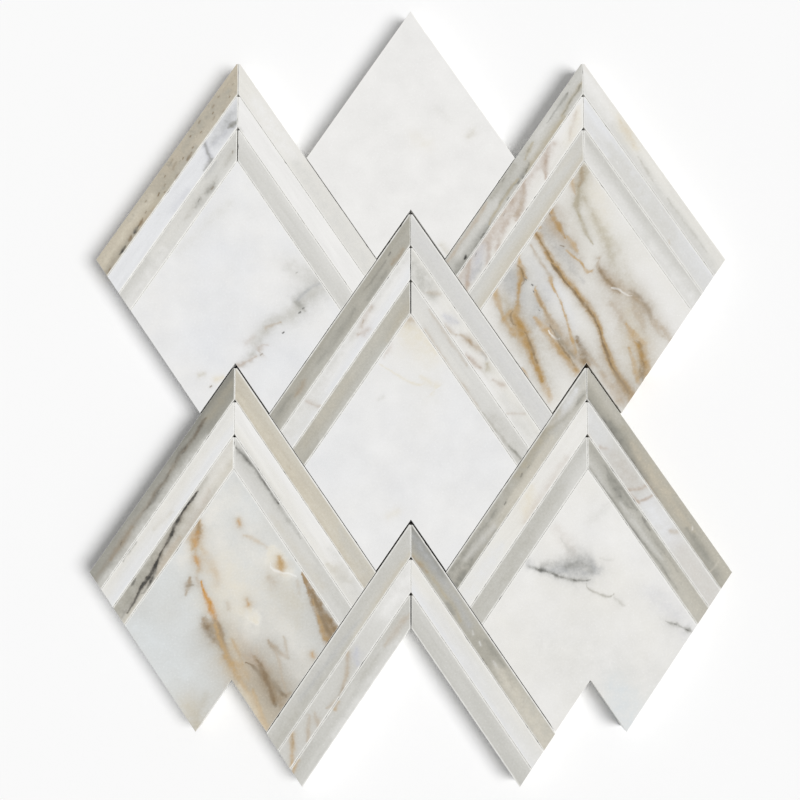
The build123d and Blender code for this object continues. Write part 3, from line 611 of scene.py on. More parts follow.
        Vein("blush", 0.9, 0.9, ((85.4, -0.4, 1.4), (88, 1.4, 2.0), (92, 3.4, 1.8), (97.5, 6.6, 1.4))),
        Vein("charcoal", 0.6, 0.8, ((81.4, 0.8, 0.5), (82.8, 1.0, 0.6))),
        Vein("charcoal", 0.5, 0.8, ((60.6, 1.0, 0.5), (61.6, 1.2, 0.5))),
    ),
    "upper_right_inner_left_strip": (
        Vein("buff", 0.3, 1.0, ((4, 6.5, 2), (30, 7, 3), (60, 7, 3), (86, 7, 2))),
    ),
    "upper_right_outer_right_strip": (
        Vein("cream", 0.7, 1.0, ((27, 0.8, 2), (34, 1.8, 4), (43, 2.4, 2))),
        Vein("honey", 0.15, 1.0, ((29, 1.4, 1.2), (35, 1.8, 2.4), (41, 2.6, 1.0))),
        Vein("taupe", 0.45, 1.0, ((46, 4.2, 0.6), (54, 4.6, 1.4), (59, 4.6, 0.6))),
        Vein("silver", 0.6, 1.0, ((60, 5, 2), (80, 5.6, 4), (104, 5, 4))),
        Vein("white", 0.7, 1.0, ((2, 2, 3), (14, 3, 6), (26, 4, 3))),
        Vein("ash", 0.4, 1.0, ((68, 4.2, 0.5), (80, 4.2, 1.0), (96, 4.4, 0.6))),
    ),
    "upper_right_middle_right_strip": (
        Vein("pearl", 0.85, 1.0, ((24, 4, 4), (40, 4, 9), (58, 4, 9), (72, 4, 3))),
        Vein("honey", 0.4, 1.0, ((71, 5.8, 1.4), (72.4, 6.8, 1.4))),
        Vein("frost", 0.45, 1.0, ((74, 4, 4), (86, 4, 9), (98, 4, 7))),
        Vein("chalk", 0.8, 0.8, ((31, 4.6, 0.8), (31.7, 4.9, 0.8))),
        Vein("silver", 0.45, 1.0, ((24, 4, 8), (60, 4, 9), (98, 4, 9))),
        Vein("frost", 0.5, 1.0, ((0, 6.2, 3), (12, 6.2, 5), (26, 6.2, 3))),
    ),
    "upper_right_inner_right_strip": (
        Vein("white", 0.5, 1.0, ((0, 6, 3), (24, 6, 4.4), (50, 6, 3))),
        Vein("dove", 0.6, 1.0, ((4, 1, 2), (20, 1.2, 3), (50, 1, 3), (74, 0.8, 2))),
        Vein("white", 0.5, 1.0, ((56, 5, 3), (70, 5, 5), (90, 4.6, 5))),
    ),
    "centre_outer_left_strip": (
        Vein("taupe", 0.5, 1.0, ((2, 6, 2), (24, 6.4, 4), (54, 6.4, 3))),
        Vein("taupe", 0.75, 1.0, ((2, 6, 2), (14, 6.2, 4), (30, 6.2, 3))),
        Vein("slate", 0.5, 1.0, ((26, 5.6, 1.2), (32, 5.8, 2.8), (40, 5.6, 1.2))),
        Vein("slate", 0.4, 1.0, ((46, 3.6, 1.2), (60, 4, 3.4), (74, 4, 1.2))),
        Vein("charcoal", 0.6, 0.9, ((18, 2.2, 1.0), (19.6, 2.4, 1.0))),
        Vein("charcoal", 0.3, 1.0, ((22, 2.5, 0.6), (28, 2.7, 1.0), (38, 2.5, 0.6))),
        Vein("brown", 0.4, 1.0, ((14, 6, 1.2), (19, 6, 2.0), (22, 5.8, 1.0))),
        Vein("brown", 0.35, 1.0, ((83, 3.6, 1.0), (87, 4, 2.0), (91, 4, 1.0))),
        Vein("slate", 0.5, 1.0, ((91, 2.4, 1.2), (98, 2.4, 3.0), (105, 2.6, 3.0))),
        Vein("silver", 0.4, 1.0, ((4, 7.8, 1.4), (50, 7.8, 1.2), (104, 7.4, 2.4))),
    ),
    "centre_middle_left_strip": (
        Vein("silver", 0.6, 1.0, ((2, 1, 3), (40, 0.8, 4), (98, 1.6, 5))),
        Vein("pearl", 0.7, 1.0, ((76, 4, 4), (88, 4, 9), (100, 4, 9))),
        Vein("blush", 0.5, 1.0, ((30, 0.4, 1.6), (35, 1.2, 2.4), (39, 2.4, 2.0))),
        Vein("blush", 0.55, 1.0, ((38, 5, 1.6), (40.4, 4.2, 2.6), (42.6, 3.0, 1.4))),
        Vein("brown", 0.5, 0.9, ((36.2, 1.4, 0.9), (37.4, 1.8, 0.9))),
        Vein("blush", 0.7, 0.9, ((77.8, 1.2, 1.0), (77.2, 4, 1.5), (76, 7.6, 1.0))),
        Vein("brown", 0.3, 0.9, ((77.4, 3.6, 0.7), (77, 6, 0.7))),
        Vein("pearl", 0.6, 1.0, ((70, 4, 2), (74, 5, 4), (80, 4, 2))),
    ),
    "centre_inner_left_strip": (
        Vein("olive", 0.3, 1.0, ((50, 2, 4), (76, 2, 6), (90, 2, 6))),
        Vein("olive", 0.85, 1.0, ((2, 6.4, 2), (12, 6.4, 4), (26, 6.6, 2))),
        Vein("sand", 0.3, 1.0, ((10, 1.4, 3), (40, 1.4, 4), (70, 1.4, 3))),
        Vein("dove", 0.6, 1.0, ((6, 7, 2), (40, 6.8, 3), (80, 6.4, 2))),
        Vein("taupe", 0.5, 1.0, ((76, 5.8, 1), (82, 6.6, 2), (88, 7, 2))),
    ),
    "centre_outer_right_strip": (
        Vein("lilac", 0.25, 1.0, ((0, 4, 8), (50, 4, 9), (106, 4, 9))),
        Vein("silver", 0.5, 1.0, ((10, 6, 2), (30, 5.4, 4), (60, 6, 3), (100, 6, 3))),
    ),
    "centre_middle_right_strip": (
        Vein("dove", 0.95, 1.0, ((2, 4, 6), (12, 4, 9), (22, 4, 4))),
        Vein("silver", 0.5, 1.0, ((74, 4, 4), (88, 4, 9), (100, 4, 9))),
        Vein("fawn", 0.35, 1.0, ((19.4, 5, 1.2), (21.2, 3, 1.8), (23, 1.4, 1.2))),
        Vein("lilac", 0.8, 1.0, ((31.6, 5, 1.6), (34, 3.8, 3.2), (37, 2.4, 1.6))),
        Vein("fawn", 0.55, 1.0, ((35.6, 7.0, 1.4), (38, 6.6, 1.8), (41, 5.4, 0.8))),
        Vein("fawn", 0.75, 1.0, ((42, 3.8, 1.0), (46, 2.4, 2.6), (50, 1.2, 2.2), (56, 0.6, 0.8))),
        Vein("brown", 0.35, 1.0, ((45.6, 2.4, 0.8), (48, 2.2, 1.4))),
        Vein("blush", 0.75, 1.0, ((50.5, 7.2, 1.4), (54, 6.4, 2.6), (58.5, 5.0, 1.4))),
        Vein("olive", 0.6, 1.0, ((58.6, 1.8, 1.4), (60.6, 2.8, 2.2))),
        Vein("blush", 0.55, 1.0, ((65.6, 3.4, 1.2), (69.4, 1.4, 2.4))),
        Vein("blush", 0.4, 1.0, ((80, 7.4, 0.8), (82.4, 4, 1.2), (84.4, 1, 0.8))),
        Vein("smoke", 0.5, 1.0, ((53, 0.8, 1.0), (56.5, 0.8, 1.4))),
    ),
    "centre_inner_right_strip": (
        Vein("milk", 0.4, 1.0, ((2, 6, 4), (24, 6, 5), (48, 6, 4))),
        Vein("taupe", 0.3, 1.0, ((66, 4, 5), (80, 4, 8), (92, 4, 8))),
        Vein("fawn", 0.35, 1.0, ((14, 0.6, 0.8), (24, 0.6, 1.6), (42, 0.6, 0.8))),
        Vein("taupe", 0.55, 1.0, ((62, 6.6, 0.6), (70, 6.2, 1.4), (80, 5.6, 1.4), (87, 4.6, 1.0))),
        Vein("slate", 0.75, 0.9, ((79.6, 5.8, 0.4), (83, 5.2, 0.9), (86.4, 4.6, 0.8))),
        Vein("fawn", 0.5, 1.0, ((20, 7.2, 1.4), (34, 7.4, 1.0), (52, 7.4, 1.4), (60, 7, 0.8))),
    ),
    # Darker grey along the outer edge, towards the outline
    "lower_left_outer_left_strip": (
        Vein("slate", 0.85, 1.0, ((26, 2.6, 2.0), (60, 3.0, 2.8), (104, 3.0, 3.2))),
        Vein("ash", 0.45, 1.0, ((80, 1.6, 3), (92, 1.6, 5), (106, 1.6, 5))),
        Vein("charcoal", 0.3, 1.0, ((0, 1.6, 4), (12, 1.6, 5), (26, 1.6, 3))),
        Vein("slate", 0.5, 1.0, ((0, 2, 4), (12, 2, 6), (26, 2, 3))),
        Vein("slate", 0.6, 1.0, ((0, 4, 6), (12, 5, 7), (30, 6.2, 3))),
        Vein("ash", 0.6, 1.0, ((50, 2, 3), (66, 2, 5), (80, 2, 3))),
        Vein("silver", 0.75, 1.0, ((30, 7.4, 2), (44, 6.8, 3), (64, 6.6, 3.6), (104, 6.4, 4))),
        Vein("olive", 0.35, 1.0, ((6, 2.5, 2), (16, 3, 4), (26, 2.6, 2))),
        Vein("charcoal", 0.75, 0.9, ((24, 2.3, 0.4), (28, 2.4, 1.2), (36, 2.2, 1.0), (40, 1.9, 1.6), (46, 2.5, 0.6))),
        Vein("charcoal", 0.5, 0.9, ((50, 2.5, 0.6), (57, 2.8, 1.4), (64, 3.4, 1.0), (70, 3.2, 0.4))),
        Vein("charcoal", 0.45, 1.0, ((58, 4.4, 0.4), (63, 4.2, 1.2), (68, 3.8, 0.4))),
        Vein("brown", 0.4, 1.0, ((78, 3.6, 1.0), (86, 3.6, 2.2), (94, 3.6, 1.0))),
        Vein("slate", 0.32, 1.0, ((30, 1.2, 2), (60, 1.2, 2.6), (104, 1.6, 3))),
        Vein("umber", 0.32, 0.9, ((24, 2.4, 0.8), (40, 2.5, 1.6), (60, 3.0, 1.5), (80, 3.1, 1.8), (104, 3.0, 2.0))),
        Vein("charcoal", 0.6, 0.7, ((38.4, 2.2, 0.8), (39.4, 2.3, 0.8))),
        Vein("charcoal", 0.6, 0.7, ((40.6, 2.9, 0.9), (41.8, 2.8, 0.9))),
        Vein("charcoal", 0.5, 0.7, ((28, 2.3, 0.7), (29.2, 2.4, 0.7))),
        Vein("charcoal", 0.5, 0.7, ((52.6, 2.9, 0.8), (54, 2.8, 0.8))),
        Vein("charcoal", 0.5, 0.7, ((59.4, 3.6, 0.9), (60.8, 3.5, 0.9))),
        Vein("charcoal", 0.45, 0.7, ((85.6, 3.2, 0.8), (86.8, 3.3, 0.8))),
    ),
    "lower_left_middle_left_strip": (
        Vein("silver", 0.22, 1.0, ((4, 1.6, 4), (50, 2, 5), (98, 3, 6))),
        Vein("sand", 0.4, 1.0, ((52, 5, 1.4), (57, 4, 2.4), (62, 3, 1.2))),
        Vein("slate", 0.6, 0.9, ((70, 0.2, 0.5), (75, 0.2, 0.9), (80, 0.3, 0.4))),
        Vein("charcoal", 0.6, 0.9, ((41, 7.9, 0.5), (45, 7.9, 0.8), (49, 7.9, 0.4))),
    ),
    "lower_left_inner_left_strip": (
        Vein("buff", 0.4, 1.0, ((0, 2, 5), (26, 2, 6), (60, 2, 4))),
        Vein("taupe", 0.5, 1.0, ((66, 1.4, 2), (80, 1.6, 4), (94, 1.8, 4))),
        Vein("taupe", 0.75, 1.0, ((20, 0.6, 2), (40, 0.8, 3.4), (66, 1, 4), (92, 1.4, 5))),
        Vein("taupe", 0.35, 1.0, ((22, 6, 2), (36, 6.4, 4), (54, 6.6, 3))),
        Vein("milk", 0.6, 1.0, ((4, 2.5, 3), (16, 3, 5), (30, 3.6, 4))),
        Vein("blush", 0.3, 1.0, ((24, 4, 2), (32, 6, 3.4), (42, 6, 2))),
        Vein("fawn", 0.5, 1.0, ((46, 5.4, 1.4), (56, 6, 3.0), (64, 6.8, 2))),
        Vein("taupe", 0.8, 1.0, ((62, 1.6, 2.0), (74, 2.0, 4.0), (84, 2.4, 4.6), (92, 2.6, 4.6))),
        Vein("slate", 0.3, 1.0, ((60, 3.4, 1.4), (70, 3.8, 3), (84, 4.0, 3))),
        Vein("charcoal", 0.55, 1.0, ((36, 0.8, 0.8), (44, 1.6, 1.6), (52, 2.6, 1.4), (60, 3.6, 1.6))),
        Vein("umber", 0.35, 0.9, ((27, 0.7, 0.6), (40, 1.0, 1.4), (54, 2.8, 1.2), (66, 4.6, 1.8), (76, 5.2, 1.4),
                                  (84, 6, 0.6))),
        Vein("ink", 1.0, 0.5, ((27, 0.7, 0.4), (31, 0.5, 0.8), (36, 0.4, 0.7), (42, 0.9, 1.0), (48, 2.1, 1.0),
                               (54, 2.6, 0.5), (60, 3.6, 0.8), (66, 4.5, 1.1), (72, 4.7, 0.9), (80, 5.6, 0.6),
                               (84, 6, 0.3))),
        Vein("ink", 0.75, 0.9, ((61, 4.2, 0.5), (65, 5.6, 1.3), (69, 6.4, 0.9), (74, 6.2, 0.5))),
        Vein("charcoal", 0.4, 0.9, ((70, 4.6, 0.6), (76, 5.4, 1.2), (83, 5.0, 1.2), (87, 5.2, 0.6))),
        Vein("ink", 0.8, 0.8, ((70.6, 0.7, 0.5), (72.4, 0.8, 0.9), (74, 1.0, 0.4))),
        Vein("sand", 0.4, 1.0, ((70, 7.4, 1.4), (82, 7.2, 2.4), (92, 7.2, 2.4))),
    ),
    "lower_left_outer_right_strip": (
        Vein("olive", 0.2, 1.0, ((0, 6.6, 3), (26, 6.6, 4), (54, 6.6, 3))),
        Vein("cream", 0.35, 1.0, ((10, 5.6, 2), (50, 5.8, 4), (100, 5.4, 4))),
        Vein("fawn", 0.4, 1.0, ((46.8, 4.6, 0.9), (48, 4.8, 0.9))),
        Vein("dove", 0.5, 1.0, ((80, 2, 2), (92, 3, 5), (105, 3, 6))),
    ),
    "lower_left_middle_right_strip": (
        Vein("silver", 0.45, 1.0, ((72, 1.4, 2), (84, 1.4, 5), (98, 1.4, 6))),
        Vein("sand", 0.7, 1.0, ((78, 6, 2), (83, 4.4, 4.4), (88, 2.6, 2))),
        Vein("silver", 0.6, 1.0, ((84, 4, 4), (92, 4, 8), (98, 4, 8))),
        Vein("charcoal", 0.55, 1.0, ((13, 7.8, 0.6), (20, 7.7, 0.8), (30, 7.8, 1.0), (42, 7.8, 0.8), (50, 7.9, 0.4))),
    ),
    "lower_left_inner_right_strip": (
        Vein("dove", 0.6, 1.0, ((64, 2.6, 2), (80, 2.6, 5), (94, 2.6, 5))),
        Vein("dove", 0.3, 1.0, ((2, 2, 2), (14, 2.4, 5), (28, 2, 4), (42, 1.4, 2))),
        Vein("slate", 0.35, 1.0, ((2.6, 2.0, 1.0), (9, 1.5, 2.0), (16, 0.7, 1.6), (28, 0.6, 1.5), (42, 0.9, 1.2),
                                  (50, 0.8, 0.4))),
        Vein("charcoal", 0.75, 1.0, ((4, 1.9, 0.6), (9, 1.2, 1.2), (15, 0.4, 1.0), (21, 0.3, 0.9), (26, 0.5, 0.9),
                                     (33, 0.4, 0.5))),
        Vein("sand", 0.5, 1.0, ((36, 6, 2), (52, 5.4, 4), (72, 5.4, 3))),
    ),
    "lower_right_outer_left_strip": (
        Vein("taupe", 0.5, 1.0, ((62, 6.4, 2), (80, 6.2, 4), (106, 6, 5))),
        Vein("slate", 0.35, 1.0, ((24, 1.4, 2), (38, 1.6, 3.4), (54, 1.8, 2))),
        Vein("slate", 0.8, 1.0, ((26, 0.4, 1.5), (38, 0.6, 2.6), (54, 0.8, 1.5))),
        Vein("taupe", 0.9, 1.0, ((20, 1, 3), (34, 0.8, 4.4), (60, 1, 3.4), (106, 1.2, 5))),
        Vein("slate", 0.6, 1.0, ((78, 6.4, 2), (94, 6, 5), (106, 6, 5))),
        Vein("frost", 0.6, 1.0, ((10, 1.6, 2), (18, 2, 4), (28, 1.0, 3))),
        Vein("taupe", 0.75, 1.0, ((10, 5.6, 0.8), (20, 4.6, 1.8), (27, 3.0, 1.8), (34, 1.6, 1.4), (46, 1.6, 1.0))),
        Vein("sand", 0.7, 1.0, ((32, 4.6, 2), (46, 5, 3.6), (66, 5.4, 3))),
        Vein("taupe", 0.6, 1.0, ((40, 2.2, 1.0), (52, 2.6, 2.4), (66, 3.0, 2.0), (82, 3.6, 1.6))),
        Vein("pearl", 0.45, 1.0, ((76, 5.0, 1.6), (84, 4.4, 3.0), (94, 2.8, 2.0))),
        Vein("slate", 0.5, 1.0, ((70, 2.2, 0.8), (82, 2.0, 1.4), (96, 1.2, 1.6), (104, 1.4, 1.4))),
        Vein("slate", 0.75, 1.0, ((93, 5.4, 0.8), (99, 5.6, 2.6), (105, 6, 2.6))),
        Vein("ink", 0.8, 0.8, ((51.8, 2.5, 1.0), (53.2, 2.7, 1.0))),
        Vein("ink", 0.75, 0.8, ((65.4, 3.4, 0.9), (66.6, 3.5, 0.9))),
        Vein("charcoal", 0.6, 0.8, ((47.4, 3.1, 0.6), (48.8, 3.2, 0.6))),
        Vein("slate", 0.55, 0.9, ((7, 5.6, 1.2), (11, 5.4, 1.8), (15, 5.0, 1.0))),
        Vein("charcoal", 0.4, 0.9, ((31, 0.4, 0.8), (34, 0.4, 1.0))),
        Vein("olive", 0.5, 1.0, ((22, 1.0, 2), (38, 1.2, 3.4), (54, 1.4, 2))),
    ),
    "lower_right_middle_left_strip": (
        Vein("white", 0.5, 1.0, ((0, 4, 6), (16, 4, 9), (44, 4, 8))),
        Vein("cream", 0.7, 1.0, ((42, 1, 2), (48, 3, 5), (54, 6, 3))),
        Vein("blush", 0.3, 1.0, ((24, 6, 2), (40, 6.4, 3), (56, 6.6, 2))),
        Vein("frost", 0.6, 1.0, ((70, 4, 3), (84, 4, 7), (97, 4, 7))),
    ),
    "lower_right_inner_left_strip": (
        Vein("ash", 0.65, 1.0, ((24, 3.6, 4), (44, 4, 9), (94, 4, 10))),
        Vein("pearl", 0.5, 1.0, ((2, 6, 3), (12, 6.2, 4.6), (24, 6.2, 2))),
        Vein("pearl", 0.35, 1.0, ((4, 6.4, 3), (26, 6.4, 4.4), (46, 6.4, 3))),
    ),
    "lower_right_outer_right_strip": (
        Vein("olive", 0.35, 1.0, ((0, 2, 5), (50, 2, 6), (105, 2, 6))),
        Vein("sand", 0.4, 1.0, ((82, 1.6, 3), (94, 1.6, 4), (105, 2, 4))),
        Vein("silver", 0.3, 1.0, ((0, 1.6, 3), (14, 1.6, 4), (26, 2, 3))),
        Vein("slate", 0.75, 1.0, ((24, 5.4, 2), (38, 5.6, 4), (52, 5.6, 2))),
        Vein("buff", 0.8, 1.0, ((36, 3, 2), (48, 3.4, 4.6), (66, 3.2, 5), (80, 3, 2))),
        Vein("slate", 0.3, 1.0, ((2, 4, 2), (14, 5.6, 3), (28, 6.2, 2))),
        Vein("charcoal", 0.7, 1.0, ((8, 7.4, 0.8), (24, 7.4, 1.4), (42, 7.4, 1.2), (58, 7.6, 1.0), (70, 7.8, 0.5))),
        Vein("slate", 0.6, 1.0, ((78, 4.4, 1.2), (90, 4.6, 3.6), (100, 5.2, 3))),
        Vein("brown", 0.4, 1.0, ((52, 7.4, 0.8), (56, 7.4, 1.4), (62, 7.6, 0.8))),
        Vein("sand", 0.6, 0.9, ((95.8, 0.8, 0.5), (97, 4, 0.8), (97.8, 7.6, 0.5))),
        Vein("chalk", 0.5, 0.9, ((78.6, 2.2, 1.0), (79.6, 3.0, 1.0))),
        Vein("taupe", 0.5, 1.0, ((64, 1.4, 1), (74, 1.6, 2), (84, 1.2, 1))),
    ),
    "lower_right_middle_right_strip": (
        Vein("dove", 0.6, 1.0, ((10, 4, 4), (30, 4, 9), (48, 4, 6))),
        Vein("frost", 0.5, 1.0, ((3, 4, 6), (12, 4, 9), (20, 4, 4))),
        Vein("frost", 0.85, 1.0, ((48, 4, 6), (57, 4, 9), (67, 4, 5))),
        Vein("blush", 0.7, 1.0, ((18.6, 6, 1.2), (20, 4.6, 1.4))),
        Vein("blush", 0.25, 1.0, ((24, 4, 4), (32, 4, 7), (38, 4, 4))),
        Vein("blush", 0.8, 0.9, ((42.4, 0.2, 1.2), (41.4, 3, 1.4), (40.2, 5.6, 1.2), (39.4, 7.6, 1.4))),
        Vein("blush", 0.8, 0.9, ((47, 0.4, 0.9), (46.6, 3.2, 1.2), (45.6, 5.6, 1.0), (44, 7.0, 1.0))),
        Vein("blush", 0.8, 0.9, ((46, 6.4, 0.9), (43, 7.2, 1.3), (40, 7.6, 1.0))),
        Vein("fawn", 0.55, 0.9, ((64.8, 0.4, 1.2), (63.4, 2.6, 1.2))),
        Vein("blush", 0.2, 1.0, ((68, 4, 4), (80, 4, 9), (96, 4, 8))),
        Vein("honey", 0.5, 0.9, ((11.6, 7.4, 1.0), (13.2, 7.7, 1.0))),
    ),
    "lower_right_inner_right_strip": (
        Vein("slate", 0.3, 1.0, ((4, 1.4, 3), (14, 1.4, 4), (24, 1.4, 3))),
        Vein("pearl", 0.45, 1.0, ((2, 6, 3), (12, 6.2, 4.6), (24, 6.2, 2))),
        Vein("slate", 0.65, 1.0, ((18, 2.2, 1.0), (24, 2.8, 2.6), (29, 3.2, 2.6), (34, 2.4, 1.0))),
        Vein("charcoal", 0.45, 1.0, ((23.6, 3.2, 1.0), (26.5, 3.2, 1.8), (28, 3.2, 0.6))),
        Vein("slate", 0.6, 1.0, ((14, 1.0, 0.6), (24, 1.2, 1.4), (36, 0.8, 0.8))),
        Vein("charcoal", 0.6, 0.9, ((39.6, 0.6, 0.6), (42, 0.8, 1.3), (46, 1.0, 0.6))),
        Vein("slate", 0.8, 1.0, ((8, 7.2, 0.6), (14, 7.2, 1.2), (24, 6.8, 0.8), (38, 7.0, 1.3), (48, 6.6, 1.0),
                                 (60, 6, 0.8), (72, 5.6, 0.4))),
        Vein("charcoal", 0.5, 0.9, ((37, 7.0, 0.4), (41, 7.0, 0.9), (46, 6.8, 0.4))),
        Vein("pearl", 0.5, 1.0, ((30, 4.8, 1.2), (44, 4.6, 2.4), (58, 3.8, 1.4))),
        Vein("sand", 0.65, 1.0, ((58, 1.6, 2), (72, 2.8, 5), (84, 3.6, 8), (92, 4, 8))),
        Vein("slate", 0.4, 1.0, ((48, 2.0, 0.6), (56, 1.6, 1.0), (66, 1.4, 0.6))),
        Vein("taupe", 0.35, 1.0, ((46, 1.4, 3), (70, 1.4, 4), (92, 1.6, 4))),
    ),
    "bottom_outer_left_strip": (
        Vein("ash", 0.35, 1.0, ((74, 4, 8), (90, 4, 9), (106, 4, 9))),
        Vein("ash", 0.4, 1.0, ((22, 1.6, 3), (40, 1.6, 5), (56, 1.6, 3))),
        Vein("dove", 0.6, 1.0, ((4, 2, 3), (36, 1.8, 4.4), (60, 2, 3))),
        Vein("sand", 0.8, 1.0, ((10, 6.6, 2), (26, 6.6, 3.2), (48, 7, 2.4), (60, 7, 1))),
        Vein("buff", 0.4, 1.0, ((12, 6.8, 1.0), (22, 6.4, 1.4), (34, 6.8, 0.8))),
        Vein("ash", 0.6, 1.0, ((52, 6, 1.4), (70, 6.2, 3), (88, 5.6, 4), (105, 5.4, 4))),
        Vein("smoke", 0.45, 1.0, ((44, 4.6, 1), (62, 3.6, 2), (84, 3, 2))),
    ),
    "bottom_middle_left_strip": (
        Vein("ash", 0.75, 1.0, ((50, 3.6, 6), (76, 3.6, 9), (98, 4, 9))),
        Vein("silver", 0.75, 1.0, ((28, 4, 6), (60, 4, 10), (100, 4, 10))),
        Vein("white", 0.7, 1.0, ((0, 4, 8), (12, 4, 9), (24, 4, 6))),
        Vein("lilac", 0.85, 1.0, ((43, 2.4, 2.0), (45.4, 4.4, 3.8), (47, 6.6, 2.0))),
        Vein("silver", 0.7, 1.0, ((52, 2, 3), (64, 3, 6), (82, 3, 6), (98, 4, 6))),
        Vein("fawn", 0.75, 0.9, ((45.6, -0.2, 1.4), (48.6, 1.8, 1.6), (52.6, 4.2, 1.5), (57, 6.2, 1.3),
                                 (64, 7.8, 1.4))),
        Vein("umber", 0.55, 0.9, ((58.6, 7.1, 0.8), (60, 7.4, 1.2), (62, 7.2, 0.5))),
        Vein("fawn", 0.55, 0.9, ((62, 7.8, 1.0), (66.5, 7.0, 1.3), (69, 5.8, 0.6))),
        Vein("fawn", 0.6, 1.0, ((73.4, 2.6, 1.0), (75, 4.8, 1.8), (77, 7, 1.2))),
        Vein("fawn", 0.6, 0.9, ((75.6, 1.0, 0.8), (79, 3.8, 1.5), (84, 7.0, 1.2))),
        Vein("honey", 0.75, 0.9, ((84.8, 0.0, 1.4), (88, 2.2, 1.5), (92, 4.6, 1.4), (97.6, 8.4, 1.4))),
        Vein("brown", 0.4, 0.9, ((85.4, 0.4, 0.6), (88, 2.2, 0.8), (90, 3.4, 0.4))),
    ),
    "bottom_inner_left_strip": (
        Vein("pearl", 0.3, 1.0, ((44, 1.2, 2), (56, 1.2, 3.4), (70, 1.2, 2))),
        Vein("fawn", 0.45, 1.0, ((6, 4.2, 1.0), (12, 3.4, 2.4), (18, 3.0, 2.4), (23, 3.0, 1.0))),
        Vein("taupe", 0.35, 1.0, ((27, 3, 1.0), (33, 2.8, 2.2), (40, 3, 1.0))),
        Vein("honey", 0.6, 0.9, ((52, 0.2, 0.9), (55, 0.3, 1.2))),
        Vein("honey", 0.65, 0.9, ((80.6, -0.2, 1.0), (84, 0.6, 1.2), (87, 1.6, 0.8))),
        Vein("white", 0.35, 1.0, ((16, 6, 2), (40, 6.4, 3.4), (64, 6, 2))),
    ),
    "bottom_outer_right_strip": (
        Vein("olive", 0.3, 1.0, ((0, 3, 5), (50, 3, 7), (80, 3, 5))),
        Vein("taupe", 0.65, 1.0, ((40, 6, 2), (62, 6.2, 4), (80, 6.2, 3))),
        Vein("charcoal", 0.2, 1.0, ((0, 1.2, 3), (12, 1.4, 4), (26, 1.4, 2))),
        Vein("slate", 1.2, 1.0, ((0, 1.4, 4), (10, 1.4, 5), (24, 1.4, 3))),
        Vein("taupe", 0.5, 1.0, ((54, 6.4, 2), (66, 6.4, 4), (78, 6.4, 2))),
        Vein("smoke", 0.7, 1.0, ((4, 2, 2), (16, 2.2, 4), (34, 2.6, 4), (48, 3.4, 3))),
        Vein("olive", 0.75, 1.0, ((10, 7, 1.2), (18, 5.6, 1.6), (30, 5.0, 1.4), (44, 5.4, 1.2))),
        Vein("brown", 0.4, 1.0, ((11, 6.9, 0.8), (15, 6.4, 1.4), (20, 5.4, 0.6))),
        Vein("slate", 0.7, 1.0, ((35, 6.0, 1.4), (37.4, 6.2, 2.2), (40, 6.0, 1.0))),
        Vein("taupe", 0.85, 1.0, ((50, 3.4, 2), (58, 3, 4.6), (67, 2.6, 3))),
        Vein("slate", 0.5, 1.0, ((56, 1.4, 1.0), (62, 1.2, 2.0), (69, 1.0, 1.0))),
        Vein("charcoal", 0.6, 0.9, ((61.4, 6.7, 0.8), (62.6, 6.8, 0.8))),
        Vein("charcoal", 0.55, 0.9, ((63.8, 6.7, 0.7), (64.8, 6.6, 0.7))),
        Vein("charcoal", 0.55, 0.9, ((75, 7.0, 0.8), (76.4, 7.1, 0.7))),
        Vein("sand", 0.95, 1.0, ((68, 4.4, 2), (80, 4.4, 6), (92, 4.4, 9), (105, 4.4, 9))),
        Vein("pearl", 0.7, 1.0, ((50, 3.6, 1.4), (51.4, 4.2, 1.6))),
        Vein("pearl", 0.7, 1.0, ((55.4, 3.8, 1.2), (56.6, 4.2, 1.2))),
        Vein("pearl", 0.5, 1.0, ((65, 3.6, 1.0), (68, 3.8, 1.4))),
    ),
    "bottom_middle_right_strip": (
        Vein("pearl", 0.45, 1.0, ((20, 3, 5), (60, 3, 9), (100, 3, 10))),
    ),
    "bottom_inner_right_strip": (
        Vein("dove", 0.6, 1.0, ((48, 2, 2), (58, 3, 5), (70, 3.4, 3))),
    ),
}


def add(tree, kind, inputs=None, **settings):
    """Add a node with its settings, and set or link each input that is named."""
    node = tree.nodes.new(kind)
    for key, value in settings.items():
        setattr(node, key, value)
    for key, value in (inputs or {}).items():
        if isinstance(value, bpy.types.NodeSocket):
            tree.links.new(value, node.inputs[key])
        else:
            node.inputs[key].default_value = value
    return node


def shape_curve(node, points, handle):
    """Give a curve node these points, from 0 to 1 both ways."""
    node.mapping.extend = "HORIZONTAL"
    curve = node.mapping.curves[0]
    curve.points[0].location = points[0]
    curve.points[1].location = points[-1]
    for point in points[1:-1]:
        curve.points.new(*point)
    for point in curve.points:
        point.handle_type = handle
    node.mapping.update()


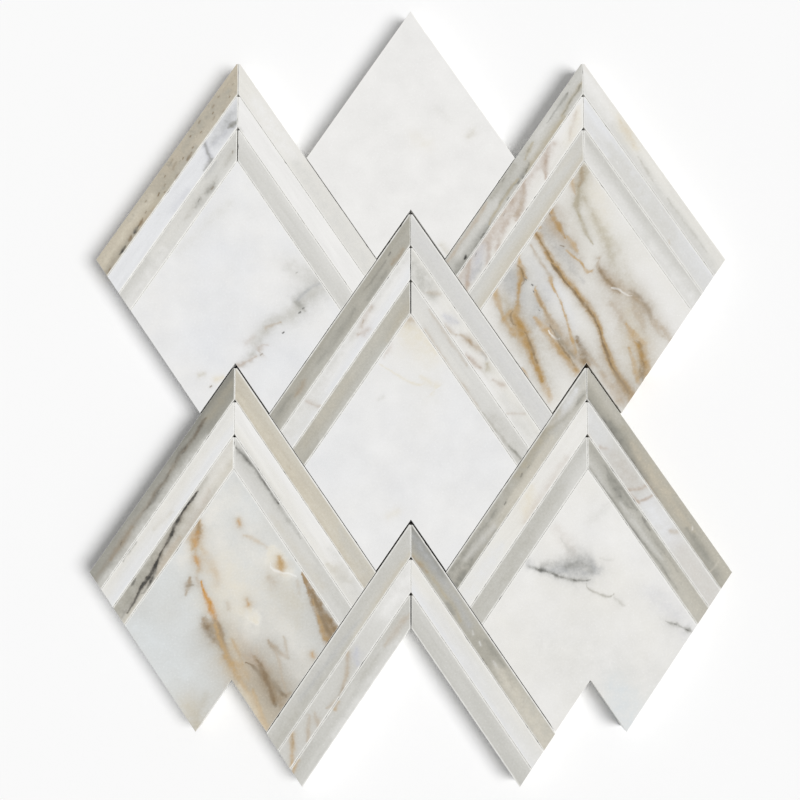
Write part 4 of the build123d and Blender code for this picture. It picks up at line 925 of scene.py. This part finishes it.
def vein_group(vein, tint, stain):
    """A node group that lays one vein over a colour: distance from the vein's route, over its half width, fades it.
    An iron vein first stains the stone for a few widths round it."""
    points = [Vector(point[:2]) for point in vein.route]
    run = points[-1] - points[0]
    length = run.length
    along = run / length
    across = Vector((-along.y, along.x))
    reach = [(point - points[0]).dot(along) / length for point in points]
    aside = [(point - points[0]).dot(across) for point in points]
    low, span = min(aside), max(max(aside) - min(aside), 0.001)
    widest = max(point[2] for point in vein.route)
    speck = length < SPECK_LENGTH
    fullness = SPECK_FILL if speck else VEIN_FILL
    rough = 0.3 * widest if speck else math.sqrt(widest)
    origin = points[0] + across * low

    tree = bpy.data.node_groups.new(vein.colour + "_vein", "ShaderNodeTree")
    tree.interface.new_socket("Colour", in_out="INPUT", socket_type="NodeSocketColor")
    tree.interface.new_socket("Place", in_out="INPUT", socket_type="NodeSocketVector")
    tree.interface.new_socket("Ragged", in_out="INPUT", socket_type="NodeSocketFloat")
    tree.interface.new_socket("Patch", in_out="INPUT", socket_type="NodeSocketFloat")
    tree.interface.new_socket("Colour", in_out="OUTPUT", socket_type="NodeSocketColor")
    given = add(tree, "NodeGroupInput").outputs
    start = add(tree, "ShaderNodeVectorMath", {0: given["Place"], 1: origin.to_3d()}, operation="SUBTRACT").outputs[0]
    share = add(tree, "ShaderNodeVectorMath", {0: start, 1: (along / length).to_3d()},
                operation="DOT_PRODUCT").outputs[1]
    side = add(tree, "ShaderNodeVectorMath", {0: start, 1: across.to_3d()}, operation="DOT_PRODUCT").outputs[1]
    middle = add(tree, "ShaderNodeFloatCurve", {"Value": share})
    shape_curve(middle, [(u, (v - low) / span) for u, v in zip(reach, aside)], "AUTO")
    width = add(tree, "ShaderNodeFloatCurve", {"Value": share})
    shape_curve(width, [(u, point[2] / widest) for u, point in zip(reach, vein.route)], "AUTO_CLAMPED")
    gap = add(tree, "ShaderNodeMath", {0: middle.outputs[0], 1: -span, 2: side}, operation="MULTIPLY_ADD").outputs[0]
    within = add(tree, "ShaderNodeMath", {0: share, 1: 1.0}, operation="MINIMUM").outputs[0]
    within = add(tree, "ShaderNodeMath", {0: within, 1: 0.0}, operation="MAXIMUM").outputs[0]
    past = add(tree, "ShaderNodeMath", {0: share, 1: within}, operation="SUBTRACT").outputs[0]
    past = add(tree, "ShaderNodeMath", {0: past, 1: length}, operation="MULTIPLY").outputs[0]
    off = add(tree, "ShaderNodeCombineXYZ", {"X": gap, "Y": past}).outputs[0]
    off = add(tree, "ShaderNodeVectorMath", {0: off}, operation="LENGTH").outputs[1]
    off = add(tree, "ShaderNodeMath", {0: given["Ragged"], 1: rough, 2: off}, operation="MULTIPLY_ADD").outputs[0]
    half = add(tree, "ShaderNodeMath", {0: width.outputs[0], 1: fullness * widest, 2: 0.01},
               operation="MULTIPLY_ADD").outputs[0]
    off = add(tree, "ShaderNodeMath", {0: off, 1: half}, operation="DIVIDE").outputs[0]
    off = add(tree, "ShaderNodeMath", {0: off, 1: 0.0}, operation="MAXIMUM").outputs[0]
    core = add(tree, "ShaderNodeMapRange", {"Value": off, "From Min": 1.3, "From Max": 0.6,
                                            "To Max": vein.strength * (1 - vein.softness)},
               interpolation_type="SMOOTHSTEP", clamp=False).outputs[0]
    haze = add(tree, "ShaderNodeMath", {0: off, 1: off, 2: HAZE_REACH}, operation="MULTIPLY_ADD").outputs[0]
    haze = add(tree, "ShaderNodeMath", {0: HAZE_REACH, 1: haze}, operation="DIVIDE").outputs[0]
    haze = add(tree, "ShaderNodeMath", {0: haze, 1: 2.0}, operation="POWER").outputs[0]
    cover = add(tree, "ShaderNodeMath", {0: haze, 1: vein.strength * vein.softness, 2: core},
                operation="MULTIPLY_ADD").outputs[0]
    cover = add(tree, "ShaderNodeMath", {0: cover, 1: given["Patch"]}, operation="MULTIPLY").outputs[0]
    laid = given["Colour"]
    if vein.colour in IRON:
        spread = add(tree, "ShaderNodeMath", {0: off, 1: off, 2: STAIN_REACH}, operation="MULTIPLY_ADD").outputs[0]
        spread = add(tree, "ShaderNodeMath", {0: STAIN_REACH, 1: spread}, operation="DIVIDE").outputs[0]
        spread = add(tree, "ShaderNodeMath", {0: spread, 1: 2.0}, operation="POWER").outputs[0]
        spread = add(tree, "ShaderNodeMath", {0: spread, 1: STAIN_SHARE * vein.strength},
                     operation="MULTIPLY").outputs[0]
        laid = add(tree, "ShaderNodeMix", {0: spread, 6: laid, 7: (*stain, 1.0)}, data_type="RGBA").outputs[2]
    laid = add(tree, "ShaderNodeMix", {0: cover, 6: laid, 7: (*tint, 1.0)}, data_type="RGBA").outputs[2]
    add(tree, "NodeGroupOutput", {"Colour": laid})
    return tree


def arm_of(node):
    """Where a strip starts and which way it runs: its tip in mm, its angle, and 1 or -1 for its inner edge's side."""
    low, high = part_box(node)
    if node.endswith("_left_strip"):
        return (high.x / MM, high.y / MM, 0.0), math.radians(-90 - ARM_ANGLE), 1.0
    return (low.x / MM, high.y / MM, 0.0), math.radians(-90 + ARM_ANGLE), -1.0


def polished_marble(node, seed, colours, finish):
    """Polished marble. Clouded calcite with iron-gold and grey veins running through the whole stone; the face has a
    soft gloss, the ground arris is chalky white with a painted highlight, and the sawn sides and back are dull with
    fine saw lines."""
    ground = GROUNDS[node]
    material = bpy.data.materials.new("polished_marble_" + node)
    material.use_nodes = True
    tree = material.node_tree
    tree.nodes.clear()
    place = add(tree, "ShaderNodeTexCoord").outputs["Object"]
    place = add(tree, "ShaderNodeVectorMath", {0: place, "Scale": 1 / MM}, operation="SCALE").outputs[0]
    if node in STRIPS:
        tip, angle, side = arm_of(node)
        place = add(tree, "ShaderNodeMapping", {"Vector": place, "Location": tip, "Rotation": (0, 0, angle),
                                                "Scale": (1, side, 1)}, vector_type="TEXTURE").outputs[0]
        cloud_size = (1 / 36, 1 / 4.5, 1 / 8)      # streaks drawn out along the strip, mm
    else:
        cloud_size = (1 / 26, 1 / 26, 1 / 26)      # round clouds, mm

    # Ground: two close tones in clouds or streaks
    stretched = add(tree, "ShaderNodeVectorMath", {0: place, 1: cloud_size}, operation="MULTIPLY").outputs[0]
    clouds = add(tree, "ShaderNodeTexNoise", {"Vector": stretched, "W": seed, "Scale": 1.0, "Detail": 4.0,
                                              "Roughness": 0.55}, noise_dimensions="4D").outputs[0]
    balance = 0.45                                 # a field has a little more of its first tone
    if node in STRIPS:
        split = add(tree, "ShaderNodeSeparateXYZ", {0: place}).outputs["Y"]
        balance = add(tree, "ShaderNodeMapRange", {"Value": split, "From Max": STRIP_WIDTH}).outputs[0]
    share = add(tree, "ShaderNodeMath", {0: clouds, 1: 0.5}, operation="SUBTRACT").outputs[0]
    share = add(tree, "ShaderNodeMath", {0: share, 1: 2 * ground.contrast, 2: balance}, operation="MULTIPLY_ADD",
                use_clamp=True).outputs[0]
    first, second = getattr(colours, ground.first), getattr(colours, ground.second)
    base = add(tree, "ShaderNodeMix", {0: share, 6: (*first, 1), 7: (*second, 1)}, data_type="RGBA").outputs[2]
    tones = add(tree, "ShaderNodeTexNoise", {"Vector": stretched, "W": seed + 7, "Scale": 2.3, "Detail": 5.0,
                                             "Roughness": 0.6}, noise_dimensions="4D").outputs[0]
    tones = add(tree, "ShaderNodeMapRange", {"Value": tones, "From Min": 0.25, "From Max": 0.75, "To Min": 0.94,
                                             "To Max": 1.04}).outputs[0]
    base = add(tree, "ShaderNodeVectorMath", {0: base, "Scale": tones}, operation="SCALE").outputs[0]
    if ground.mottle:
        spots = add(tree, "ShaderNodeTexNoise", {"Vector": place, "W": seed, "Scale": 1 / 2.2, "Detail": 3.0},
                    noise_dimensions="4D").outputs[0]
        spots = add(tree, "ShaderNodeMapRange", {"Value": spots, "From Min": 0.54, "From Max": 0.74,
                                                 "To Max": ground.mottle}, interpolation_type="SMOOTHSTEP").outputs[0]
        base = add(tree, "ShaderNodeMix", {0: spots, 6: base, 7: (*colours.slate, 1)}, data_type="RGBA").outputs[2]

    # Veins: their routes wander by about a millimetre and their edges are ragged
    bend = add(tree, "ShaderNodeTexNoise", {"Vector": place, "W": seed, "Scale": 1 / 6, "Detail": 3.0},
               noise_dimensions="4D").outputs["Color"]
    bend = add(tree, "ShaderNodeVectorMath", {0: bend, 1: (0.5, 0.5, 0.5)}, operation="SUBTRACT").outputs[0]
    wandered = add(tree, "ShaderNodeVectorMath", {0: bend, 1: (2.0, 2.0, 0.0), 2: place},
                   operation="MULTIPLY_ADD").outputs[0]
    ragged = add(tree, "ShaderNodeTexNoise", {"Vector": place, "W": seed, "Scale": 1 / 2.2, "Detail": 4.0,
                                              "Roughness": 0.62}, noise_dimensions="4D").outputs[0]
    ragged = add(tree, "ShaderNodeMath", {0: ragged, 1: 1.4, 2: -0.7}, operation="MULTIPLY_ADD").outputs[0]
    patch = add(tree, "ShaderNodeTexNoise", {"Vector": place, "W": seed + 3, "Scale": 1 / 3.5, "Detail": 3.0,
                                             "Roughness": 0.6}, noise_dimensions="4D").outputs[0]
    patch = add(tree, "ShaderNodeMapRange", {"Value": patch, "From Min": 0.3, "From Max": 0.7, "To Min": 0.5,
                                             "To Max": 1.3}).outputs[0]
    for vein in VEINS.get(node, ()):
        base = add(tree, "ShaderNodeGroup", {"Colour": base, "Place": wandered, "Ragged": ragged, "Patch": patch},
                   node_tree=vein_group(vein, getattr(colours, vein.colour), colours.taupe)).outputs[0]

    # A pale line along the sawn edges: partly chalky stone where the polish stops just short of them, partly a painted
    # highlight of the edges catching the light; more in some places than in others
    lean, rise = math.cos(math.radians(ARM_ANGLE)), math.sin(math.radians(ARM_ANGLE))
    if node in STRIPS:
        outer = add(tree, "ShaderNodeMath", {0: split, 1: TIP_INSET}, operation="ADD").outputs[0]
        inner = add(tree, "ShaderNodeMath", {0: STRIP_WIDTH, 1: outer}, operation="SUBTRACT").outputs[0]
        mitre = add(tree, "ShaderNodeVectorMath", {0: place, 1: (MITRE_PINCH * rise, -MITRE_PINCH * lean, 0)},
                    operation="DOT_PRODUCT").outputs[1]
        if node in OUTLINE_STRIPS:
            outer = mitre
        inner = add(tree, "ShaderNodeMath", {0: inner, 1: mitre}, operation="MINIMUM").outputs[0]
    else:
        low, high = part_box(node)
        corner = ((low.x + high.x) / 2 / MM, high.y / MM, 0.0)
        start = add(tree, "ShaderNodeVectorMath", {0: place, 1: corner}, operation="SUBTRACT").outputs[0]
        outer = add(tree, "ShaderNodeVectorMath", {0: start, 1: (lean, -rise, 0)}, operation="DOT_PRODUCT").outputs[1]
        inner = add(tree, "ShaderNodeVectorMath", {0: start, 1: (-lean, -rise, 0)}, operation="DOT_PRODUCT").outputs[1]
    pale_edge_and_painted_highlight = add(tree, "ShaderNodeMath", {0: outer, 1: inner}, operation="MINIMUM").outputs[0]
    pale_edge_and_painted_highlight = add(tree, "ShaderNodeMapRange", {"Value": pale_edge_and_painted_highlight, "From Min": EDGE_CLEAR, "From Max": EDGE_PALE,
                                             "To Max": 0.85}).outputs[0]
    pale_edge_and_painted_highlight = add(tree, "ShaderNodeMath", {0: pale_edge_and_painted_highlight, 1: patch}, operation="MULTIPLY").outputs[0]
    base = add(tree, "ShaderNodeMix", {0: pale_edge_and_painted_highlight, 6: base, 7: (*colours.chalk, 1)}, data_type="RGBA").outputs[2]

    # Crystal grain, drawn at 0.9 mm so that it shows
    grain = add(tree, "ShaderNodeTexNoise", {"Vector": place, "Scale": 1 / 0.9, "Detail": 2.0}).outputs[0]
    base = add(tree, "ShaderNodeMix", {0: 0.14, 6: base, 7: grain}, data_type="RGBA", blend_type="OVERLAY").outputs[2]

    # The arris is ground, not polished, and painted paler: partly its chalky colour, partly a painted highlight that
    # offsets the shade on its rounded faces; sides and back are sawn
    facing = add(tree, "ShaderNodeNewGeometry").outputs["Normal"]
    upward = add(tree, "ShaderNodeSeparateXYZ", {0: facing}).outputs["Z"]
    edge = add(tree, "ShaderNodeMapRange", {"Value": upward, "From Min": 0.98, "From Max": 0.85}).outputs[0]
    side = add(tree, "ShaderNodeMapRange", {"Value": upward, "From Min": 0.25, "From Max": 0.05}).outputs[0]
    rim = add(tree, "ShaderNodeMath", {0: edge, 1: side}, operation="SUBTRACT", use_clamp=True).outputs[0]
    rim = add(tree, "ShaderNodeMath", {0: rim, 1: 0.85}, operation="MULTIPLY").outputs[0]
    base = add(tree, "ShaderNodeMix", {0: rim, 6: base, 7: (*colours.chalk, 1)}, data_type="RGBA").outputs[2]

    # Gloss on the face, and saw lines about 0.35 mm apart down the sides
    dull = add(tree, "ShaderNodeMapRange", {"Value": edge, "To Min": finish.polish, "To Max": finish.sawn}).outputs[0]
    dull = add(tree, "ShaderNodeMath", {0: grain, 1: 0.08, 2: dull}, operation="MULTIPLY_ADD").outputs[0]
    lines = add(tree, "ShaderNodeVectorMath", {0: place, 1: (1 / 6, 1 / 6, 1 / 0.35)}, operation="MULTIPLY").outputs[0]
    lines = add(tree, "ShaderNodeTexNoise", {"Vector": lines, "Scale": 1.0, "Detail": 2.0}).outputs[0]
    saw = add(tree, "ShaderNodeBump", {"Strength": side, "Distance": 0.04 * MM, "Height": lines}).outputs[0]
    shader = add(tree, "ShaderNodeBsdfPrincipled", {"Base Color": base, "Roughness": dull, "IOR": 1.5, "Normal": saw})
    add(tree, "ShaderNodeOutputMaterial", {"Surface": shader.outputs[0]})
    return material


def glass_fibre(node, settings):
    """Sized glass-fibre roving. Flat off-white bundles with fine lines of fibre along them and a dull sheen."""
    material = bpy.data.materials.new("glass_fibre_" + node)
    material.use_nodes = True
    tree = material.node_tree
    tree.nodes.clear()
    # Fibres, drawn 0.14 mm wide so that they show, and 9 mm long
    fibre = (1 / 9, 1 / 0.14, 1 / 0.14) if node.startswith("mesh_weft") else (1 / 0.14, 1 / 9, 1 / 0.14)
    place = add(tree, "ShaderNodeTexCoord").outputs["Object"]
    place = add(tree, "ShaderNodeVectorMath", {0: place, "Scale": 1 / MM}, operation="SCALE").outputs[0]
    lines = add(tree, "ShaderNodeVectorMath", {0: place, 1: fibre}, operation="MULTIPLY").outputs[0]
    lines = add(tree, "ShaderNodeTexNoise", {"Vector": lines, "Scale": 1.0, "Detail": 3.0}).outputs[0]
    share = add(tree, "ShaderNodeMapRange", {"Value": lines, "From Min": 0.35, "From Max": 0.65}).outputs[0]
    base = add(tree, "ShaderNodeMix", {0: share, 6: (*settings.size, 1), 7: (*settings.roving, 1)},
               data_type="RGBA").outputs[2]
    bump = add(tree, "ShaderNodeBump", {"Strength": 0.6, "Distance": 0.03 * MM, "Height": lines}).outputs[0]
    dull = add(tree, "ShaderNodeMapRange", {"Value": lines, "To Min": 0.65, "To Max": 0.4}).outputs[0]
    shader = add(tree, "ShaderNodeBsdfPrincipled", {"Base Color": base, "Roughness": dull, "IOR": 1.52, "Normal": bump})
    add(tree, "ShaderNodeOutputMaterial", {"Surface": shader.outputs[0]})
    return material


def merged_copy(node):
    """The node's solid as a clean bmesh: its loose triangles joined and its flat faces whole."""
    shape = bmesh.new()
    shape.from_mesh(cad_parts[node].data)
    bmesh.ops.remove_doubles(shape, verts=shape.verts[:], dist=SAME_PLACE)
    bmesh.ops.dissolve_limit(shape, angle_limit=math.radians(1), verts=shape.verts[:], edges=shape.edges[:])
    return shape


def set_piece(name, shape, node, material):
    """Make the finished bmesh a piece of the sheet in place of its node."""
    mesh = bpy.data.meshes.new(name)
    shape.to_mesh(mesh)
    shape.free()
    mesh.materials.append(material)
    piece = bpy.data.objects.new(name, mesh)
    bpy.context.scene.collection.objects.link(piece)
    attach(piece, "root")
    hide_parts(node)


def close_mitre(shape, node):
    """Lengthen a strip almost to the middle of its mitre joint, for two arms that are butted tight."""
    left_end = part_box(node.replace("_right_strip", "_left_strip"))[1].x
    right_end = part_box(node.replace("_left_strip", "_right_strip"))[0].x
    middle = (left_end + right_end) / 2
    if node.endswith("_left_strip"):
        end, stop = left_end, middle - TIGHT_JOINT / 2 * MM
    else:
        end, stop = right_end, middle + TIGHT_JOINT / 2 * MM
    rise = abs(stop - end) / math.tan(math.radians(ARM_ANGLE))
    tip = max(vert.co.y for vert in shape.verts)
    for vert in shape.verts:
        if abs(vert.co.x - end) < SAME_PLACE:
            vert.co.x = stop
            if vert.co.y < tip - SAME_PLACE:       # the corner on the inner edge slides up along that edge
                vert.co.y += rise


def lay_stone(node, seed, colours, finish):
    """One stone: its back from the solid, raised to the polished face, the arris rounded, wavered and nicked."""
    low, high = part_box(node)
    shape = merged_copy(node)
    back = min(shape.faces, key=lambda face: face.calc_center_median().z)
    bmesh.ops.delete(shape, geom=[face for face in shape.faces if face != back], context="FACES")
    if node.startswith(TIGHT_MITRES):
        close_mitre(shape, node)
    for edge in shape.edges[:]:
        cuts = int(edge.calc_length() / finish.edge_step)
        if cuts:
            bmesh.ops.subdivide_edges(shape, edges=[edge], cuts=cuts)
    raised = bmesh.ops.extrude_face_region(shape, geom=shape.faces[:])
    rim = [vert for vert in raised["geom"] if isinstance(vert, bmesh.types.BMVert)]
    bmesh.ops.translate(shape, verts=rim, vec=(0, 0, high.z - low.z))
    bmesh.ops.recalc_face_normals(shape, faces=shape.faces[:])
    top_edges = [edge for edge in shape.edges if min(vert.co.z for vert in edge.verts) > high.z - SAME_PLACE]
    bmesh.ops.bevel(shape, geom=top_edges, offset=finish.arris, offset_type="OFFSET", segments=3, profile=0.5,
                    affect="EDGES", clamp_overlap=True, material=-1)
    shape.normal_update()

    # The arris strays inwards all along, and a few chips break it
    chance = random.Random(seed)
    arris = [vert for vert in shape.verts if vert.co.z > high.z - 1.2 * finish.arris]
    arris.sort(key=lambda vert: (vert.co.x, vert.co.y, vert.co.z))
    inwards = {}
    for vert in arris:
        flat = Vector((vert.normal.x, vert.normal.y, 0))
        if flat.length > 0.02:
            inwards[vert] = -flat.normalized()
    moves = {vert: way * chance.random() * finish.waver for vert, way in inwards.items()}
    for nick in range(finish.nicks):
        centre = chance.choice(arris).co.copy()
        spread = chance.uniform(0.5, 1.5) * MM
        depth = chance.uniform(0.3, 1.0) * finish.nick_depth
        for vert, way in inwards.items():
            far = (vert.co - centre).length / spread
            if far < 1:
                moves[vert] = moves[vert] + (way + Vector((0, 0, -0.7))) * depth * (1 - far * far)
    for vert, move in moves.items():
        vert.co += move
    for face in shape.faces:
        face.smooth = 0.02 < face.normal.z < 0.98  # only the rounded arris
    set_piece(node + "_stone", shape, node, polished_marble(node, seed, colours, finish))


class MOSAIC_OT_lay_fields(Operator):
    """Lay the six diamond fields"""
    bl_idname = "mosaic.lay_fields"
    bl_label = "Lay Fields"

    def execute(self, context):
        scene = context.scene
        for seed, node in enumerate(FIELDS):
            lay_stone(node, FIELD_SEED + seed, scene.mosaic_colours, scene.mosaic_finish)
        return {"FINISHED"}


class MOSAIC_OT_lay_strips(Operator):
    """Lay the chevron strips"""
    bl_idname = "mosaic.lay_strips"
    bl_label = "Lay Strips"

    def execute(self, context):
        scene = context.scene
        for seed, node in enumerate(STRIPS):
            lay_stone(node, STRIP_SEED + seed, scene.mosaic_colours, scene.mosaic_finish)
        return {"FINISHED"}


class MOSAIC_OT_lay_mesh(Operator):
    """Lay the threads of the backing mesh"""
    bl_idname = "mosaic.lay_mesh"
    bl_label = "Lay Mesh"

    def execute(self, context):
        settings = context.scene.mosaic_mesh
        for node in THREADS:
            shape = merged_copy(node)
            bmesh.ops.bevel(shape, geom=shape.edges[:], offset=settings.thread_round, offset_type="OFFSET", segments=2,
                            profile=0.5, affect="EDGES", clamp_overlap=True, material=-1)
            for face in shape.faces:
                face.smooth = True
            set_piece(node + "_yarn", shape, node, glass_fibre(node, settings))
        return {"FINISHED"}


class MOSAIC_OT_set_stage(Operator):
    """Set the floor, light and camera"""
    bl_idname = "mosaic.set_stage"
    bl_label = "Set Stage"

    def execute(self, context):
        scene = context.scene
        stage = scene.mosaic_stage
        scene.view_settings.view_transform = "Standard"

        # Matt paper floor, plain and pale
        shape = bmesh.new()
        bmesh.ops.create_grid(shape, x_segments=1, y_segments=1, size=3.0)
        mesh = bpy.data.meshes.new("floor")
        shape.to_mesh(mesh)
        shape.free()
        paper = bpy.data.materials.new("matt_paper")
        paper.use_nodes = True
        tree = paper.node_tree
        tree.nodes.clear()
        shader = add(tree, "ShaderNodeBsdfDiffuse", {"Color": (*stage.floor, 1), "Roughness": 0.0})
        add(tree, "ShaderNodeOutputMaterial", {"Surface": shader.outputs[0]})
        mesh.materials.append(paper)
        floor = bpy.data.objects.new("floor", mesh)
        scene.collection.objects.link(floor)

        # Even white all round, at full white where it is seen or reflected
        world = bpy.data.worlds.new("studio")
        scene.world = world
        world.use_nodes = True
        tree = world.node_tree
        tree.nodes.clear()
        path = add(tree, "ShaderNodeLightPath")
        seen = add(tree, "ShaderNodeMath", {0: path.outputs["Is Camera Ray"], 1: path.outputs["Is Glossy Ray"]},
                   operation="MAXIMUM").outputs[0]
        seen = add(tree, "ShaderNodeMath", {0: seen, 1: path.outputs["Is Transmission Ray"]},
                   operation="MAXIMUM").outputs[0]
        level = add(tree, "ShaderNodeMapRange", {"Value": seen, "To Min": stage.sky_level, "To Max": 1.0}).outputs[0]
        sky = add(tree, "ShaderNodeBackground", {"Color": (1, 1, 1, 1), "Strength": level})
        add(tree, "ShaderNodeOutputWorld", {"Surface": sky.outputs[0]})

        # One broad soft light from the right
        lamp = bpy.data.lights.new("soft_light", "SUN")
        lamp.energy = stage.sun_level
        lamp.angle = stage.sun_spread
        sun = bpy.data.objects.new("soft_light", lamp)
        sun.rotation_euler = (0, math.pi / 2 - stage.sun_height, -stage.sun_turn)
        sun.visible_glossy = False
        scene.collection.objects.link(sun)

        # Almost straight down on the polished face
        view = bpy.data.cameras.new("camera")
        view.lens = stage.lens
        view.sensor_width = 36
        view.clip_start = 0.01
        camera = bpy.data.objects.new("camera", view)
        back = Vector((0, -math.sin(stage.tilt), math.cos(stage.tilt))) * stage.distance
        camera.location = Vector(stage.aim) + back
        camera.rotation_euler = (stage.tilt, 0, 0)
        scene.collection.objects.link(camera)
        scene.camera = camera
        return {"FINISHED"}


class MOSAIC_PT_sheet(Panel):
    """Sizes, colours and steps of the mosaic sheet"""
    bl_label = "Marble Mosaic Sheet"
    bl_idname = "MOSAIC_PT_sheet"
    bl_space_type = "VIEW_3D"
    bl_region_type = "UI"
    bl_category = "Mosaic"

    def draw(self, context):
        layout = self.layout
        for group in GROUPS:
            settings = getattr(context.scene, group)
            box = layout.box()
            box.label(text=settings.bl_rna.description)
            for name in settings.__annotations__:
                box.prop(settings, name)
        for step in STEPS:
            layout.operator(step.bl_idname)


GROUPS = {
    "mosaic_colours": MarbleColours,
    "mosaic_finish": StoneFinish,
    "mosaic_mesh": MeshFinish,
    "mosaic_stage": StageSetup,
}
STEPS = (MOSAIC_OT_lay_fields, MOSAIC_OT_lay_strips, MOSAIC_OT_lay_mesh, MOSAIC_OT_set_stage)


def register():
    for cls in (*GROUPS.values(), *STEPS, MOSAIC_PT_sheet):
        bpy.utils.register_class(cls)
    for name, group in GROUPS.items():
        setattr(bpy.types.Scene, name, PointerProperty(type=group))


def unregister():
    for name in GROUPS:
        delattr(bpy.types.Scene, name)
    for cls in (MOSAIC_PT_sheet, *STEPS, *GROUPS.values()):
        bpy.utils.unregister_class(cls)


def main():
    register()
    bpy.ops.mosaic.lay_fields()
    bpy.ops.mosaic.lay_strips()
    bpy.ops.mosaic.lay_mesh()
    bpy.ops.mosaic.set_stage()


if __name__ == "__main__":
    main()
